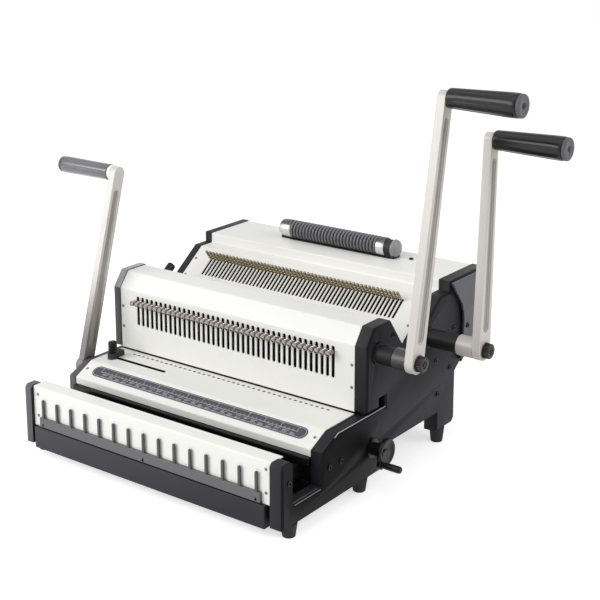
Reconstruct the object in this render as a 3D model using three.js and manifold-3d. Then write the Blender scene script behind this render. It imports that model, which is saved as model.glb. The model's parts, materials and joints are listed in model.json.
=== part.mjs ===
// Desk wire binding machine with two punch units and a front wire closer.
// Millimetres, +X to the right, +Y to the back, +Z up.
// The sizes below are laid out from the middle of the punching width, on the ground.
import * as THREE from "three";
import { mergeVertices } from "three/addons/utils/BufferGeometryUtils.js";
import Module from "manifold-3d";

const wasm = await Module();
wasm.setup();

// Clearances and overruns that every piece shares
const FIT = 0.3;
const OVERRUN = 2;
const WELD = 0.0001;

// Punching width and hole spacing
const FRONT_PITCH = 8.4667;
const REAR_PITCH = 6.35;
const HOLE_MARGIN = 31;

// Widths across the machine
const COVER_HALF_WIDTH = 198;
const LEFT_FRAME_THICK = 11;
const RIGHT_FRAME_THICK = 16.3;
const BLIND_BORE_DEPTH = 8;
const SIDE_COVER_THICK = 2.8;
const RAISED_COVER_THICK = 6.4;
const SHEET = 1.5;
const SIDE_PROUD = 1;

// Heights of the main levels above the ground
const FOOT_HEIGHT = 18;
const LOW_RAIL_TOP = 42;
const ARCH_TOP = 48;
const TABLE_TOP = 101;
const THROAT_GAP = 3.5;
const LEG_BOTTOM = 22;
const LEG_CHAMFER = 6;
const NOTCH_TOP = 116;

// Places from front to back
const CLOSER_FRONT = -228.6;
const CLOSER_EAR_DEPTH = 21;
const TABLE_FRONT = -148;
const TOWER_FRONT = -55;
const FRONT_BASE_BACK = -15;
const ARCH_SLOPE = 15;
const NOTCH_FRONT = -28;
const NOTCH_BACK = -13.4;
const REAR_LEG_FRONT = 113;
const REAR_LEG_BACK = 160;
const MACHINE_BACK = 234;

// Closer
const CLOSER_TOP = 99;
const CLOSER_EAR_CHAMFER = 4;
const LOWER_BAR_BOTTOM = 13;
const LOWER_BAR_TOP = 43;
const LOWER_BAR_DEPTH = 16;
const LOWER_BAR_LEFT_INSET = 3;
const LOWER_BAR_RIGHT_INSET = 7.5;
const CLOSER_PLATE_SETBACK = 4.5;
const CLOSER_FLANGE_DEPTH = 22;
const RACK_BAR_HEIGHT = 14.5;
const RACK_BAR_INSET = 14;
const FINGER_PITCH = 25.4;
const FINGER_MARGIN = 18;
const FINGER_WIDTH = 4;
const FINGER_THICK = 2.4;
const FINGER_TOP = 83;

// Press jaw that squeezes the wire, its arms and the fixed anvil
const JAW_THICK = 8;
const JAW_BOTTOM = 50;
const JAW_TOP = 92;
const JAW_INSET = 14;
const JAW_SETBACK = 18;
const JAW_ARM_WIDTH = 8;
const JAW_ARM_BOTTOM = 46;
const JAW_ARM_TOP = 66;
const ANVIL_HEIGHT = 9;
const ANVIL_THICK = 6;
const JAW_CRANK_RADIUS = 35;
const JAW_CRANK_WIDTH = 11;
const JAW_CRANK_PIN_RADIUS = 2.5;

// Table
const TABLE_LIP_BOTTOM = 76.5;
const TABLE_LIP_TOP = 86;
const TABLE_CHAMFER_DEPTH = 31;
const LABEL_INSET = 18;
const LABEL_WIDTH = 18;
const LABEL_THICK = 0.6;
const LABEL_PLACE_SHARE = 0.56;
const GUIDE_SLOT_Y = -90;
const GUIDE_SLOT_WIDTH = 6;
const GUIDE_SLOT_INSET = 12;
const GUIDE_SLOT_LENGTH = 101;

// Front tower
const TOWER_CHAMFER_START = 190;
const TOWER_TOP = 212;
const TOWER_CHAMFER_DEPTH = 16;
const TOWER_TOP_BACK = -3;
const FRONT_SLOT_BOTTOM = 140.6;
const FRONT_SLOT_TOP = 182.7;
const FRONT_SLOT_WIDTH = 4;

// Rear unit: a face that rises to the back, with the paper rest square to it
const REAR_TILT_DEG = 37;
const REAR_THROAT_Y = 44.4;
const REAR_THROAT_Z = 153.8;
const REAR_LEDGE = 210.5;
const REAR_RISER_Y = 144;
const REAR_TOP = 225;
const REAR_SLOT_START = 45.7;
const REAR_SLOT_LENGTH = 33;
const REAR_SLOT_WIDTH = 3;
const OVERHANG_BOTTOM = 95;
const OVERHANG_BACK_BOTTOM = 150;

// Raised cover at the rear of the right side
const RAISED_TOP_FRONT = 136.5;
const RAISED_SHOULDER_Y = 168;
const RAISED_SHOULDER_Z = 185;
const RAISED_WAIST_Y = 168.5;
const RAISED_WAIST_Z = 150;
const RAISED_FOOT_Y = 162;
const RAISED_FOOT_RISE = 8;

// Pull pins
const PIN_STEM_RADIUS = 1.1;
const FRONT_PIN_HEAD_RADIUS = 3.4;
const REAR_PIN_HEAD_RADIUS = 2.6;
const PIN_HEAD_LENGTH = 6;
const PIN_REACH = 14.5;
const PIN_SIDES = 4;
const PIN_PULL = 4;
const PIN_RAIL_THICK = 1.5;
const PIN_RAIL_HEIGHT = 5;
const FRONT_PIN_Z = 176;
const REAR_PIN_PLACE = 74.5;

// Rams, punches and dies, measured along the punching direction and into the unit
const RAM_DEPTH = 3;
const RAM_THICK = 5;
const RAM_INSET = 16;
const RAM_EAR_WIDTH = 12;
const RAM_EAR_HALF_HEIGHT = 7;
const RAM_TO_COVER = 0.5;
const PUNCH_THICK = 3.4;
const FRONT_PUNCH_WIDTH = 4;
const REAR_PUNCH_WIDTH = 3;
const PUNCH_CLEAR = 2;
const DIE_DEPTH_BELOW = 22;
const DIE_SETBACK = 0.3;
const FRONT_RAM_BOTTOM = 150;
const FRONT_RAM_TOP = 186;
const FRONT_TONGUE_BOTTOM = 150;
const FRONT_TONGUE_TOP = 160;
const FRONT_DIE_BACK = 39;
const FRONT_THROAT_DEPTH = 27;
const FRONT_GUIDE_HEIGHT = 13;
const REAR_RAM_BOTTOM = 32;
const REAR_RAM_TOP = 85;
const REAR_TONGUE_BOTTOM = 72;
const REAR_TONGUE_TOP = 84;
const REAR_DIE_BACK = 24;
const REAR_THROAT_DEPTH = 14;
const REAR_GUIDE_HEIGHT = 6;

// Drive cranks inside the units
const CRANK_ARM_THICK = 6;
const CRANK_ARM_HUB_RADIUS = 9;
const CRANK_ARM_END_RADIUS = 4.2;
const DRIVE_PIN_RADIUS = 2;
const DRIVE_SLACK = 0.7;
const LEVER_SWEEP_DEG = 90;
const CLOSER_SWEEP_DEG = 60;
const FRONT_CRANK_RADIUS = 14;
const REAR_CRANK_RADIUS = 10;

// Lever shafts and arms. A lever's reach is from the machine's side to its outer face
const SHAFT_RADIUS = 6;
const SLEEVE_RADIUS = 12.3;
const BOSS_RADIUS = 14;
const ARM_THICK = 12;
const ARM_BOTTOM_WIDTH = 27;
const ARM_TOP_WIDTH = 18;
const GROOVE_DEPTH = 3;
const GROOVE_WIDTH_SHARE = 0.5;
const GROOVE_START = 22;
const GROOVE_END = 24;
const GRIP_LENGTH = 93.5;
const GRIP_INNER_RADIUS = 12.4;
const GRIP_OUTER_RADIUS = 15;
const GRIP_CAP_LENGTH = 5;
const BOLT_RADIUS = 10.5;
const BOLT_LENGTH = 9;
const ROUND_SIDES = 20;
const SHAFT_SIDES = 12;
const SMALL_SIDES = 8;

const FRONT_LEVER = {
  shaftY: -34, shaftZ: 178, reach: 58.3, boss: 19.5, length: 322, lean: 10.4,
};
const REAR_LEVER = {
  shaftY: 87, shaftZ: 164.5, reach: 83.3, boss: 24.5, length: 271, lean: 1.9,
};
const CLOSER_LEVER = {
  shaftY: -110, shaftZ: 88, reach: 12.7, boss: 2.8, length: 270, lean: 16,
};
const CLOSER_ARM_THICK = 9;
const CLOSER_ARM_BOTTOM_WIDTH = 21;
const CLOSER_ARM_TOP_WIDTH = 20;
const CLOSER_GRIP_LENGTH = 96;
const CLOSER_GRIP_RADIUS = 11.5;
const CLOSER_SHAFT_RADIUS = 6;
const CLOSER_BOLT_RADIUS = 9;
const CLOSER_BOLT_LENGTH = 6;

// Crank that sets the closer
const CRANK_Y = -45;
const CRANK_Z = 56.6;
const CRANK_DISC_RADIUS = 17.5;
const CRANK_DISC_THICK = 6;
const CRANK_HUB_RADIUS = 8.5;
const CRANK_HUB_LENGTH = 18;
const CRANK_PIN_RADIUS = 4.6;
const CRANK_PIN_LENGTH = 27;
const CRANK_PIN_OFFSET = 17;
const CRANK_PIN_ANGLE_DEG = 224;
const CRANK_LUG_RADIUS = 6.5;
const SPINDLE_RADIUS = 5;
const SPINDLE_LENGTH = 40;
const STOP_CAM_RADIUS = 10;
const STOP_CAM_OFFSET = 4;
const STOP_CAM_WIDTH = 10;

// Edge guides: a block on a tongue in its slot, with a clamp knob
const GUIDE_INSET = 19.3;
const GUIDE_WIDTH = 9;
const GUIDE_FRONT = 12;
const GUIDE_BACK = 15;
const GUIDE_HEIGHT = 8;
const GUIDE_KNOB_RADIUS = 5.5;
const GUIDE_KNOB_HEIGHT = 17;
const GUIDE_KNOB_SHIFT = 4;
const GUIDE_TONGUE = 8;
const REAR_GUIDE_PLACE = 45;
const REAR_GUIDE_BACK = 13;

// Carrying handle
const HANDLE_HALF = 94;
const HANDLE_Y = 196;
const HANDLE_RADIUS = 13.6;
const HANDLE_RIB_COUNT = 26;
const HANDLE_RIB_HALF = 69;
const HANDLE_RIB_HEIGHT = 1.2;
const HANDLE_END_LENGTH = 8;
const HANDLE_END_DEPTH = 16;

// Feet
const FOOT_TOP_RADIUS = 10.5;
const FOOT_BOTTOM_RADIUS = 8.2;
const FOOT_PLACES = { front: -202.5, middle: -55.2, rear: 133.4 };

// Base plates, tie bars and chip tray
const BASE_WALL = 3;
const TIE_RADIUS = 6;
const TIE_PLACES = {
  upper_tie_bar: { y: -8, z: 192 },
  rear_tie_bar: { y: 190, z: 190 },
  front_tie_bar: { y: -190, z: 34 },
};
const TRAY_WALL = 1.5;
const TRAY_INSET = 28;
const TRAY_HEIGHT = 26;
const TRAY_FRONT = -66;

// Derived places
const LEFT_INNER = -COVER_HALF_WIDTH - FIT;
const LEFT_OUTER = LEFT_INNER - LEFT_FRAME_THICK;
const RIGHT_INNER = COVER_HALF_WIDTH + FIT;
const RIGHT_OUTER = RIGHT_INNER + RIGHT_FRAME_THICK;
const RIGHT_FACE = RIGHT_OUTER + FIT + SIDE_COVER_THICK;
const RACK_BAR_HALF = COVER_HALF_WIDTH - RACK_BAR_INSET;
const JAW_HALF = COVER_HALF_WIDTH - JAW_INSET;
const LABEL_HALF_LENGTH = COVER_HALF_WIDTH - LABEL_INSET;
const RAM_HALF = COVER_HALF_WIDTH - RAM_INSET;
const TRAY_HALF = COVER_HALF_WIDTH - TRAY_INSET;
const GUIDE_X = GUIDE_INSET - COVER_HALF_WIDTH;
const GUIDE_SLOT_START = GUIDE_SLOT_INSET - COVER_HALF_WIDTH;
const TOWER_THROAT = TABLE_TOP + THROAT_GAP;
const REAR_TILT = THREE.MathUtils.degToRad(REAR_TILT_DEG);
const UP_Y = Math.cos(REAR_TILT);
const UP_Z = Math.sin(REAR_TILT);

// Levers with the x places of their outer faces
const frontLever = { ...FRONT_LEVER, outer: RIGHT_FACE + FRONT_LEVER.reach };
const rearLever = { ...REAR_LEVER, outer: RIGHT_FACE + REAR_LEVER.reach };
const closerLever = { ...CLOSER_LEVER, outer: LEFT_OUTER - CLOSER_LEVER.reach };

// How many places at a pitch fit across the machine between two margins
function placeCount(margin, pitch) {
  return Math.floor(2 * (COVER_HALF_WIDTH - margin) / pitch) + 1;
}

// A point of the rear unit: along its face from the throat, and into the unit
function rearPoint(along, depth) {
  return [
    REAR_THROAT_Y + along * UP_Y + depth * UP_Z,
    REAR_THROAT_Z + along * UP_Z - depth * UP_Y,
  ];
}

// How far along the rear face a height lies
function rearAlongAtHeight(height) {
  return (height - REAR_THROAT_Z) / UP_Z;
}

// Materials
const white = new THREE.MeshStandardMaterial({ color: 0xf1f1ec, roughness: 0.45, metalness: 0 });
const black = new THREE.MeshStandardMaterial({ color: 0x38383b, roughness: 0.5, metalness: 0.1 });
const cast = new THREE.MeshStandardMaterial({ color: 0xd7d5cd, roughness: 0.45, metalness: 0.3 });
const rubber = new THREE.MeshStandardMaterial({ color: 0x1c1c1e, roughness: 0.8, metalness: 0 });
const gloss = new THREE.MeshStandardMaterial({ color: 0x232225, roughness: 0.25, metalness: 0 });
const steel = new THREE.MeshStandardMaterial({ color: 0xb4b4b0, roughness: 0.3, metalness: 0.9 });

const machine = new THREE.Group();
machine.name = "wire_binding_machine";

// Adds one finished piece to the machine
function addPiece(name, geometry, material) {
  const mesh = new THREE.Mesh(geometry, material);
  mesh.name = name;
  machine.add(mesh);
  return mesh;
}

// A geometry made ready for cutting and joining
function solidOf(geometry) {
  const plain = geometry.index ? geometry.toNonIndexed() : geometry.clone();
  plain.deleteAttribute("normal");
  plain.deleteAttribute("uv");
  const merged = mergeVertices(plain, WELD);
  return new wasm.Manifold(new wasm.Mesh({
    numProp: 3,
    vertProperties: new Float32Array(merged.attributes.position.array),
    triVerts: new Uint32Array(merged.index.array),
  }));
}

// A cut or joined solid as a geometry again
function geometryOf(solid) {
  const mesh = solid.getMesh();
  const geometry = new THREE.BufferGeometry();
  geometry.setAttribute("position", new THREE.BufferAttribute(mesh.vertProperties, 3));
  geometry.setIndex(new THREE.BufferAttribute(mesh.triVerts, 1));
  return geometry;
}

function joined(geometries) {
  return geometryOf(geometries.map(solidOf).reduce((sum, next) => sum.add(next)));
}

function cut(base, tools) {
  const tool = tools.map(solidOf).reduce((sum, next) => sum.add(next));
  return geometryOf(solidOf(base).subtract(tool));
}

function shapeOf(points) {
  return new THREE.Shape(points.map(([a, b]) => new THREE.Vector2(a, b)));
}

// A side view, given as [y, z] points, extruded from one x to another
function sideExtrusion(points, fromX, toX) {
  const geometry = new THREE.ExtrudeGeometry(shapeOf(points), {
    depth: toX - fromX, bevelEnabled: false,
  });
  const turn = new THREE.Matrix4().makeBasis(
    new THREE.Vector3(0, 1, 0), new THREE.Vector3(0, 0, 1), new THREE.Vector3(1, 0, 0),
  );
  geometry.applyMatrix4(turn);
  return geometry.translate(fromX, 0, 0);
}

function block(fromX, toX, fromY, toY, fromZ, toZ) {
  return new THREE.BoxGeometry(toX - fromX, toY - fromY, toZ - fromZ)
    .translate((fromX + toX) / 2, (fromY + toY) / 2, (fromZ + toZ) / 2);
}

// A round bar along X
function roundX(radius, fromX, toX, y, z, sides = ROUND_SIDES, endRadius = radius) {
  return new THREE.CylinderGeometry(endRadius, radius, toX - fromX, sides)
    .rotateZ(-Math.PI / 2)
    .translate((fromX + toX) / 2, y, z);
}

// A round bar along Z
function roundZ(radius, x, y, fromZ, toZ, sides = ROUND_SIDES, endRadius = radius) {
  return new THREE.CylinderGeometry(endRadius, radius, toZ - fromZ, sides)
    .rotateX(Math.PI / 2)
    .translate(x, y, (fromZ + toZ) / 2);
}

// A bent sheet seen from the side: its outer points, and its wall to the inside
function sheetOutline(outer, wall) {
  const inner = outer.map((point, index) => {
    const before = outer[Math.max(index - 1, 0)];
    const after = outer[Math.min(index + 1, outer.length - 1)];
    const first = edgeNormal(before, index === 0 ? after : point);
    const second = edgeNormal(index === outer.length - 1 ? before : point, after);
    const sum = [first[0] + second[0], first[1] + second[1]];
    const scale = wall / (1 + first[0] * second[0] + first[1] * second[1]);
    return [point[0] + sum[0] * scale, point[1] + sum[1] * scale];
  });
  return outer.concat(inner.reverse());
}

// The unit normal on the right of the way from one point to the next
function edgeNormal(from, to) {
  const run = [to[0] - from[0], to[1] - from[1]];
  const length = Math.hypot(run[0], run[1]);
  return [run[1] / length, -run[0] / length];
}

// The two punch units share one form: a place function turns a distance along the
// punching direction and a depth into the unit into a side view point
const frontUnit = {
  name: "front",
  place: (along, depth) => [TOWER_FRONT + depth, TOWER_THROAT + along],
  up: [0, 0, 1],
  out: [0, -1, 0],
  lever: frontLever,
  pitch: FRONT_PITCH,
  pins: placeCount(HOLE_MARGIN, FRONT_PITCH),
  slotStart: FRONT_SLOT_BOTTOM - TOWER_THROAT,
  slotEnd: FRONT_SLOT_TOP - TOWER_THROAT,
  slotWidth: FRONT_SLOT_WIDTH,
  pinPlace: FRONT_PIN_Z - TOWER_THROAT,
  pinHeadRadius: FRONT_PIN_HEAD_RADIUS,
  punchWidth: FRONT_PUNCH_WIDTH,
  ramBottom: FRONT_RAM_BOTTOM - TOWER_THROAT,
  ramTop: FRONT_RAM_TOP - TOWER_THROAT,
  tongueBottom: FRONT_TONGUE_BOTTOM - TOWER_THROAT,
  tongueTop: FRONT_TONGUE_TOP - TOWER_THROAT,
  crankRadius: FRONT_CRANK_RADIUS,
  shaftAlong: frontLever.shaftZ - TOWER_THROAT,
  shaftDepth: frontLever.shaftY - TOWER_FRONT,
  dieBack: FRONT_DIE_BACK,
  throatDepth: FRONT_THROAT_DEPTH,
  guideHeight: FRONT_GUIDE_HEIGHT,
  bendStart: TOWER_CHAMFER_START - TOWER_THROAT,
  bendRatio: TOWER_CHAMFER_DEPTH / (TOWER_TOP - SIDE_PROUD - TOWER_CHAMFER_START),
};
const rearShaftRun = [rearLever.shaftY - REAR_THROAT_Y, rearLever.shaftZ - REAR_THROAT_Z];
const rearUnit = {
  name: "rear",
  place: rearPoint,
  up: [0, UP_Y, UP_Z],
  out: [0, -UP_Z, UP_Y],
  lever: rearLever,
  pitch: REAR_PITCH,
  pins: placeCount(HOLE_MARGIN, REAR_PITCH),
  slotStart: REAR_SLOT_START,
  slotEnd: REAR_SLOT_START + REAR_SLOT_LENGTH,
  slotWidth: REAR_SLOT_WIDTH,
  pinPlace: REAR_PIN_PLACE,
  pinHeadRadius: REAR_PIN_HEAD_RADIUS,
  punchWidth: REAR_PUNCH_WIDTH,
  ramBottom: REAR_RAM_BOTTOM,
  ramTop: REAR_RAM_TOP,
  tongueBottom: REAR_TONGUE_BOTTOM,
  tongueTop: REAR_TONGUE_TOP,
  crankRadius: REAR_CRANK_RADIUS,
  shaftAlong: rearShaftRun[0] * UP_Y + rearShaftRun[1] * UP_Z,
  shaftDepth: rearShaftRun[0] * UP_Z - rearShaftRun[1] * UP_Y,
  dieBack: REAR_DIE_BACK,
  throatDepth: REAR_THROAT_DEPTH,
  guideHeight: REAR_GUIDE_HEIGHT,
  bendStart: rearAlongAtHeight(REAR_LEDGE),
  bendRatio: UP_Z / UP_Y,
};
const units = [frontUnit, rearUnit];

// The x places of a unit's holes
function rowPlaces(unit) {
  const half = halfRow(unit);
  return Array.from({ length: unit.pins }, (_, index) => -half + index * unit.pitch);
}

function halfRow(unit) {
  return unit.pitch * (unit.pins - 1) / 2;
}

// A side view in a unit's own along and depth, extruded across the machine
function unitSection(unit, points, fromX, toX) {
  return sideExtrusion(points.map(([along, depth]) => unit.place(along, depth)), fromX, toX);
}

function unitBlock(unit, fromX, toX, fromAlong, toAlong, fromDepth, toDepth) {
  return unitSection(unit, [
    [fromAlong, fromDepth], [toAlong, fromDepth], [toAlong, toDepth], [fromAlong, toDepth],
  ], fromX, toX);
}

// Turns a shape drawn across x and along the unit so that its depth runs outwards
function unitFrame(unit, along, depth) {
  const [y, z] = unit.place(along, depth);
  return new THREE.Matrix4().makeBasis(
    new THREE.Vector3(1, 0, 0), new THREE.Vector3(...unit.up), new THREE.Vector3(...unit.out),
  ).setPosition(0, y, z);
}

// Side frames: one outline for the plates and their covers
const towerFace = TOWER_FRONT - SIDE_PROUD;
const tableSide = TABLE_TOP - SIDE_PROUD * 2;
const tableFold = TABLE_FRONT + TABLE_CHAMFER_DEPTH;
const valley = rearPoint(-THROAT_GAP, -SIDE_PROUD);
const ledgeStart = rearPoint(rearAlongAtHeight(REAR_LEDGE), -SIDE_PROUD);
const riserY = REAR_RISER_Y - SIDE_PROUD;
const closerBack = CLOSER_FRONT + CLOSER_EAR_DEPTH;

const sideOutline = [
  [CLOSER_FRONT, FOOT_HEIGHT],
  [FRONT_BASE_BACK, FOOT_HEIGHT],
  [FRONT_BASE_BACK + ARCH_SLOPE, ARCH_TOP],
  [REAR_LEG_FRONT, ARCH_TOP],
  [REAR_LEG_FRONT, LEG_BOTTOM],
  [REAR_LEG_BACK - LEG_CHAMFER, LEG_BOTTOM],
  [REAR_LEG_BACK, LEG_BOTTOM + LEG_CHAMFER],
  [REAR_LEG_BACK, OVERHANG_BOTTOM],
  [MACHINE_BACK, OVERHANG_BACK_BOTTOM],
  [MACHINE_BACK, REAR_TOP + SIDE_PROUD],
  [riserY, REAR_TOP + SIDE_PROUD],
  [riserY, ledgeStart[1]],
  ledgeStart,
  valley,
  [TOWER_TOP_BACK, TOWER_TOP],
  [towerFace + TOWER_CHAMFER_DEPTH, TOWER_TOP],
  [towerFace, TOWER_CHAMFER_START],
  [towerFace, TOWER_THROAT],
  [NOTCH_FRONT, TOWER_THROAT],
  [NOTCH_FRONT, NOTCH_TOP],
  [NOTCH_BACK, NOTCH_TOP],
  [NOTCH_BACK, tableSide],
  [tableFold - SIDE_PROUD * 2, tableSide],
  [TABLE_FRONT, TABLE_LIP_TOP],
  [TABLE_FRONT, LOW_RAIL_TOP],
  [closerBack, LOW_RAIL_TOP],
  [closerBack, CLOSER_TOP - CLOSER_EAR_CHAMFER],
  [closerBack - CLOSER_EAR_CHAMFER, CLOSER_TOP],
  [CLOSER_FRONT + CLOSER_EAR_CHAMFER, CLOSER_TOP],
  [CLOSER_FRONT, CLOSER_TOP - CLOSER_EAR_CHAMFER],
];

// A bore for a shaft at [y, z]
function boreAt([y, z], radius, fromX, toX) {
  return roundX(radius + FIT, fromX, toX, y, z, SHAFT_SIDES);
}

const shaftSpot = (lever) => [lever.shaftY, lever.shaftZ];
const crankSpot = [CRANK_Y, CRANK_Z];

function sidePlate(fromX, toX, bores) {
  return cut(sideExtrusion(sideOutline, fromX, toX), bores);
}

function rightBores(fromX, toX) {
  return [
    boreAt(shaftSpot(frontLever), SHAFT_RADIUS, fromX - OVERRUN, toX + OVERRUN),
    boreAt(shaftSpot(rearLever), SHAFT_RADIUS, fromX - OVERRUN, toX + OVERRUN),
    boreAt(crankSpot, SPINDLE_RADIUS, fromX - OVERRUN, toX + OVERRUN),
  ];
}

// Shafts that cross the machine end in blind bores of the far frame
const leftBlindEnd = LEFT_INNER - BLIND_BORE_DEPTH;
const rightBlindEnd = RIGHT_INNER + BLIND_BORE_DEPTH;
addPiece("left_side_frame", sidePlate(LEFT_OUTER, LEFT_INNER, [
  boreAt(shaftSpot(frontLever), SHAFT_RADIUS, leftBlindEnd, LEFT_INNER + OVERRUN),
  boreAt(shaftSpot(rearLever), SHAFT_RADIUS, leftBlindEnd, LEFT_INNER + OVERRUN),
  boreAt(
    shaftSpot(closerLever), CLOSER_SHAFT_RADIUS, LEFT_OUTER - OVERRUN, LEFT_INNER + OVERRUN,
  ),
]), black);
addPiece("right_side_frame", sidePlate(RIGHT_INNER, RIGHT_OUTER, [
  ...rightBores(RIGHT_INNER, RIGHT_OUTER),
  boreAt(
    shaftSpot(closerLever), CLOSER_SHAFT_RADIUS, RIGHT_INNER - OVERRUN, rightBlindEnd,
  ),
]), black);
addPiece("right_side_cover", sidePlate(
  RIGHT_OUTER + FIT, RIGHT_FACE, rightBores(RIGHT_OUTER, RIGHT_FACE),
), black);

// Raised cover at the rear of the right side, with a bowed front edge
const raisedOutline = [
  [RAISED_TOP_FRONT, REAR_TOP + SIDE_PROUD],
  [RAISED_SHOULDER_Y, RAISED_SHOULDER_Z],
  [RAISED_WAIST_Y, RAISED_WAIST_Z],
  [RAISED_FOOT_Y, OVERHANG_BOTTOM + RAISED_FOOT_RISE],
  [MACHINE_BACK, OVERHANG_BACK_BOTTOM],
  [MACHINE_BACK, REAR_TOP + SIDE_PROUD],
];
addPiece(
  "raised_side_cover",
  sideExtrusion(raisedOutline, RIGHT_FACE + FIT, RIGHT_FACE + FIT + RAISED_COVER_THICK),
  black,
);

// Base plates between the side frames
const lowerBarBack = CLOSER_FRONT + LOWER_BAR_DEPTH;
addPiece("front_base_plate", block(
  -COVER_HALF_WIDTH, COVER_HALF_WIDTH, lowerBarBack + FIT, FRONT_BASE_BACK,
  FOOT_HEIGHT, FOOT_HEIGHT + BASE_WALL,
), black);
addPiece("rear_base_plate", block(
  -COVER_HALF_WIDTH, COVER_HALF_WIDTH,
  FRONT_BASE_BACK + ARCH_SLOPE, REAR_LEG_BACK - SIDE_PROUD - SHEET - FIT,
  ARCH_TOP, ARCH_TOP + BASE_WALL,
), black);

// Closer: fixed lower bar and the white front plate with its bent top
addPiece("closer_lower_bar", block(
  LOWER_BAR_LEFT_INSET - COVER_HALF_WIDTH, COVER_HALF_WIDTH - LOWER_BAR_RIGHT_INSET,
  CLOSER_FRONT, lowerBarBack,
  LOWER_BAR_BOTTOM, LOWER_BAR_TOP,
), black);

const plateFront = CLOSER_FRONT + CLOSER_PLATE_SETBACK;
const closerTop = CLOSER_TOP - SIDE_PROUD;
addPiece("closer_front_plate", sideExtrusion(sheetOutline([
  [plateFront, LOWER_BAR_TOP + FIT],
  [plateFront, closerTop],
  [plateFront + CLOSER_FLANGE_DEPTH, closerTop],
], SHEET), -COVER_HALF_WIDTH, COVER_HALF_WIDTH), white);

// Wire rack: a bar with the row of fingers that hold the wire loops
function wireRack() {
  const bottom = LOWER_BAR_TOP + FIT;
  const top = bottom + RACK_BAR_HEIGHT;
  const count = placeCount(FINGER_MARGIN, FINGER_PITCH);
  const firstFinger = -FINGER_PITCH * (count - 1) / 2;
  const bar = block(
    -RACK_BAR_HALF, RACK_BAR_HALF, CLOSER_FRONT, plateFront - FIT, bottom, top,
  );
  const fingers = Array.from({ length: count }, (_, index) => {
    const x = firstFinger + index * FINGER_PITCH;
    return block(
      x - FINGER_WIDTH / 2, x + FINGER_WIDTH / 2,
      CLOSER_FRONT, CLOSER_FRONT + FINGER_THICK, top - OVERRUN, FINGER_TOP,
    );
  });
  return joined([bar, ...fingers]);
}
addPiece("wire_rack", wireRack(), black);

// Press jaw: a bar behind the front plate on two arms that reach back to its cranks
const closerSwing = THREE.MathUtils.degToRad(CLOSER_SWEEP_DEG / 2);
const jawTravel = 2 * JAW_CRANK_RADIUS * Math.sin(closerSwing);
const jawPinY = closerLever.shaftY - JAW_CRANK_RADIUS * Math.sin(closerSwing);
const jawPinHigh = closerLever.shaftZ - JAW_CRANK_RADIUS * Math.cos(closerSwing);
const jawPinLow = closerLever.shaftZ - JAW_CRANK_RADIUS;
const stopReach = CRANK_Y - STOP_CAM_RADIUS - STOP_CAM_OFFSET;
const jawFront = plateFront + JAW_SETBACK;

function pressJaw() {
  const slack = JAW_CRANK_PIN_RADIUS + DRIVE_SLACK;
  const armBack = stopReach - jawTravel - SIDE_PROUD;
  const bar = block(-JAW_HALF, JAW_HALF, jawFront, jawFront + JAW_THICK, JAW_BOTTOM, JAW_TOP);
  const arms = [-JAW_HALF, JAW_HALF - JAW_ARM_WIDTH].map((fromX) => block(
    fromX, fromX + JAW_ARM_WIDTH, jawFront + JAW_THICK / 2, armBack,
    JAW_ARM_BOTTOM, JAW_ARM_TOP,
  ));
  const slots = block(
    -JAW_HALF - OVERRUN, JAW_HALF + OVERRUN, jawPinY - slack, jawPinY + slack,
    jawPinLow - slack, jawPinHigh + slack,
  );
  return cut(joined([bar, ...arms]), [slots]);
}
addPiece("press_jaw", pressJaw(), steel);

// Table: a folded sheet with a sloping front, a lip and the edge guide's slot
const tableLip = TABLE_FRONT + SIDE_PROUD;
const guideSlot = block(
  GUIDE_SLOT_START, GUIDE_SLOT_START + GUIDE_SLOT_LENGTH,
  GUIDE_SLOT_Y - GUIDE_SLOT_WIDTH / 2, GUIDE_SLOT_Y + GUIDE_SLOT_WIDTH / 2,
  TABLE_TOP - SHEET - OVERRUN, TABLE_TOP + OVERRUN,
);
addPiece("table_plate", cut(sideExtrusion(sheetOutline([
  [tableLip, TABLE_LIP_BOTTOM],
  [tableLip, TABLE_LIP_TOP],
  [tableFold, TABLE_TOP],
  [TOWER_FRONT, TABLE_TOP],
], SHEET), -COVER_HALF_WIDTH, COVER_HALF_WIDTH), [guideSlot]), white);

// Anvil that the jaw presses against, under the table's lip
const anvilTop = TABLE_LIP_BOTTOM - FIT;
addPiece("closer_anvil", block(
  -COVER_HALF_WIDTH, COVER_HALF_WIDTH,
  tableLip - FIT - ANVIL_THICK, tableLip - FIT, anvilTop - ANVIL_HEIGHT, anvilTop,
), black);

// Scale label: a strip with round ends on the table's sloping front
const slopeRise = TABLE_TOP - TABLE_LIP_TOP;
const slopeRun = tableFold - tableLip;
const slopeAngle = Math.atan2(slopeRise, slopeRun);
function scaleLabel() {
  const round = LABEL_WIDTH / 2;
  const straight = LABEL_HALF_LENGTH - round;
  const outline = new THREE.Shape();
  outline.absarc(straight, 0, round, -Math.PI / 2, Math.PI / 2, false);
  outline.absarc(-straight, 0, round, Math.PI / 2, Math.PI * 1.5, false);
  outline.closePath();
  const along = LABEL_PLACE_SHARE * slopeRun;
  return new THREE.ExtrudeGeometry(outline, {
    depth: LABEL_THICK, bevelEnabled: false, curveSegments: SMALL_SIDES,
  }).translate(0, 0, FIT).rotateX(slopeAngle).translate(
    0, tableLip + along, TABLE_LIP_TOP + along * Math.tan(slopeAngle),
  );
}
addPiece("scale_label", scaleLabel(), gloss);

// Slots for the pull pins, cut through a unit's cover
function pinSlots(unit) {
  return rowPlaces(unit).map((x) => unitBlock(
    unit, x - unit.slotWidth / 2, x + unit.slotWidth / 2,
    unit.slotStart, unit.slotEnd, -OVERRUN, SHEET + OVERRUN,
  ));
}

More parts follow.
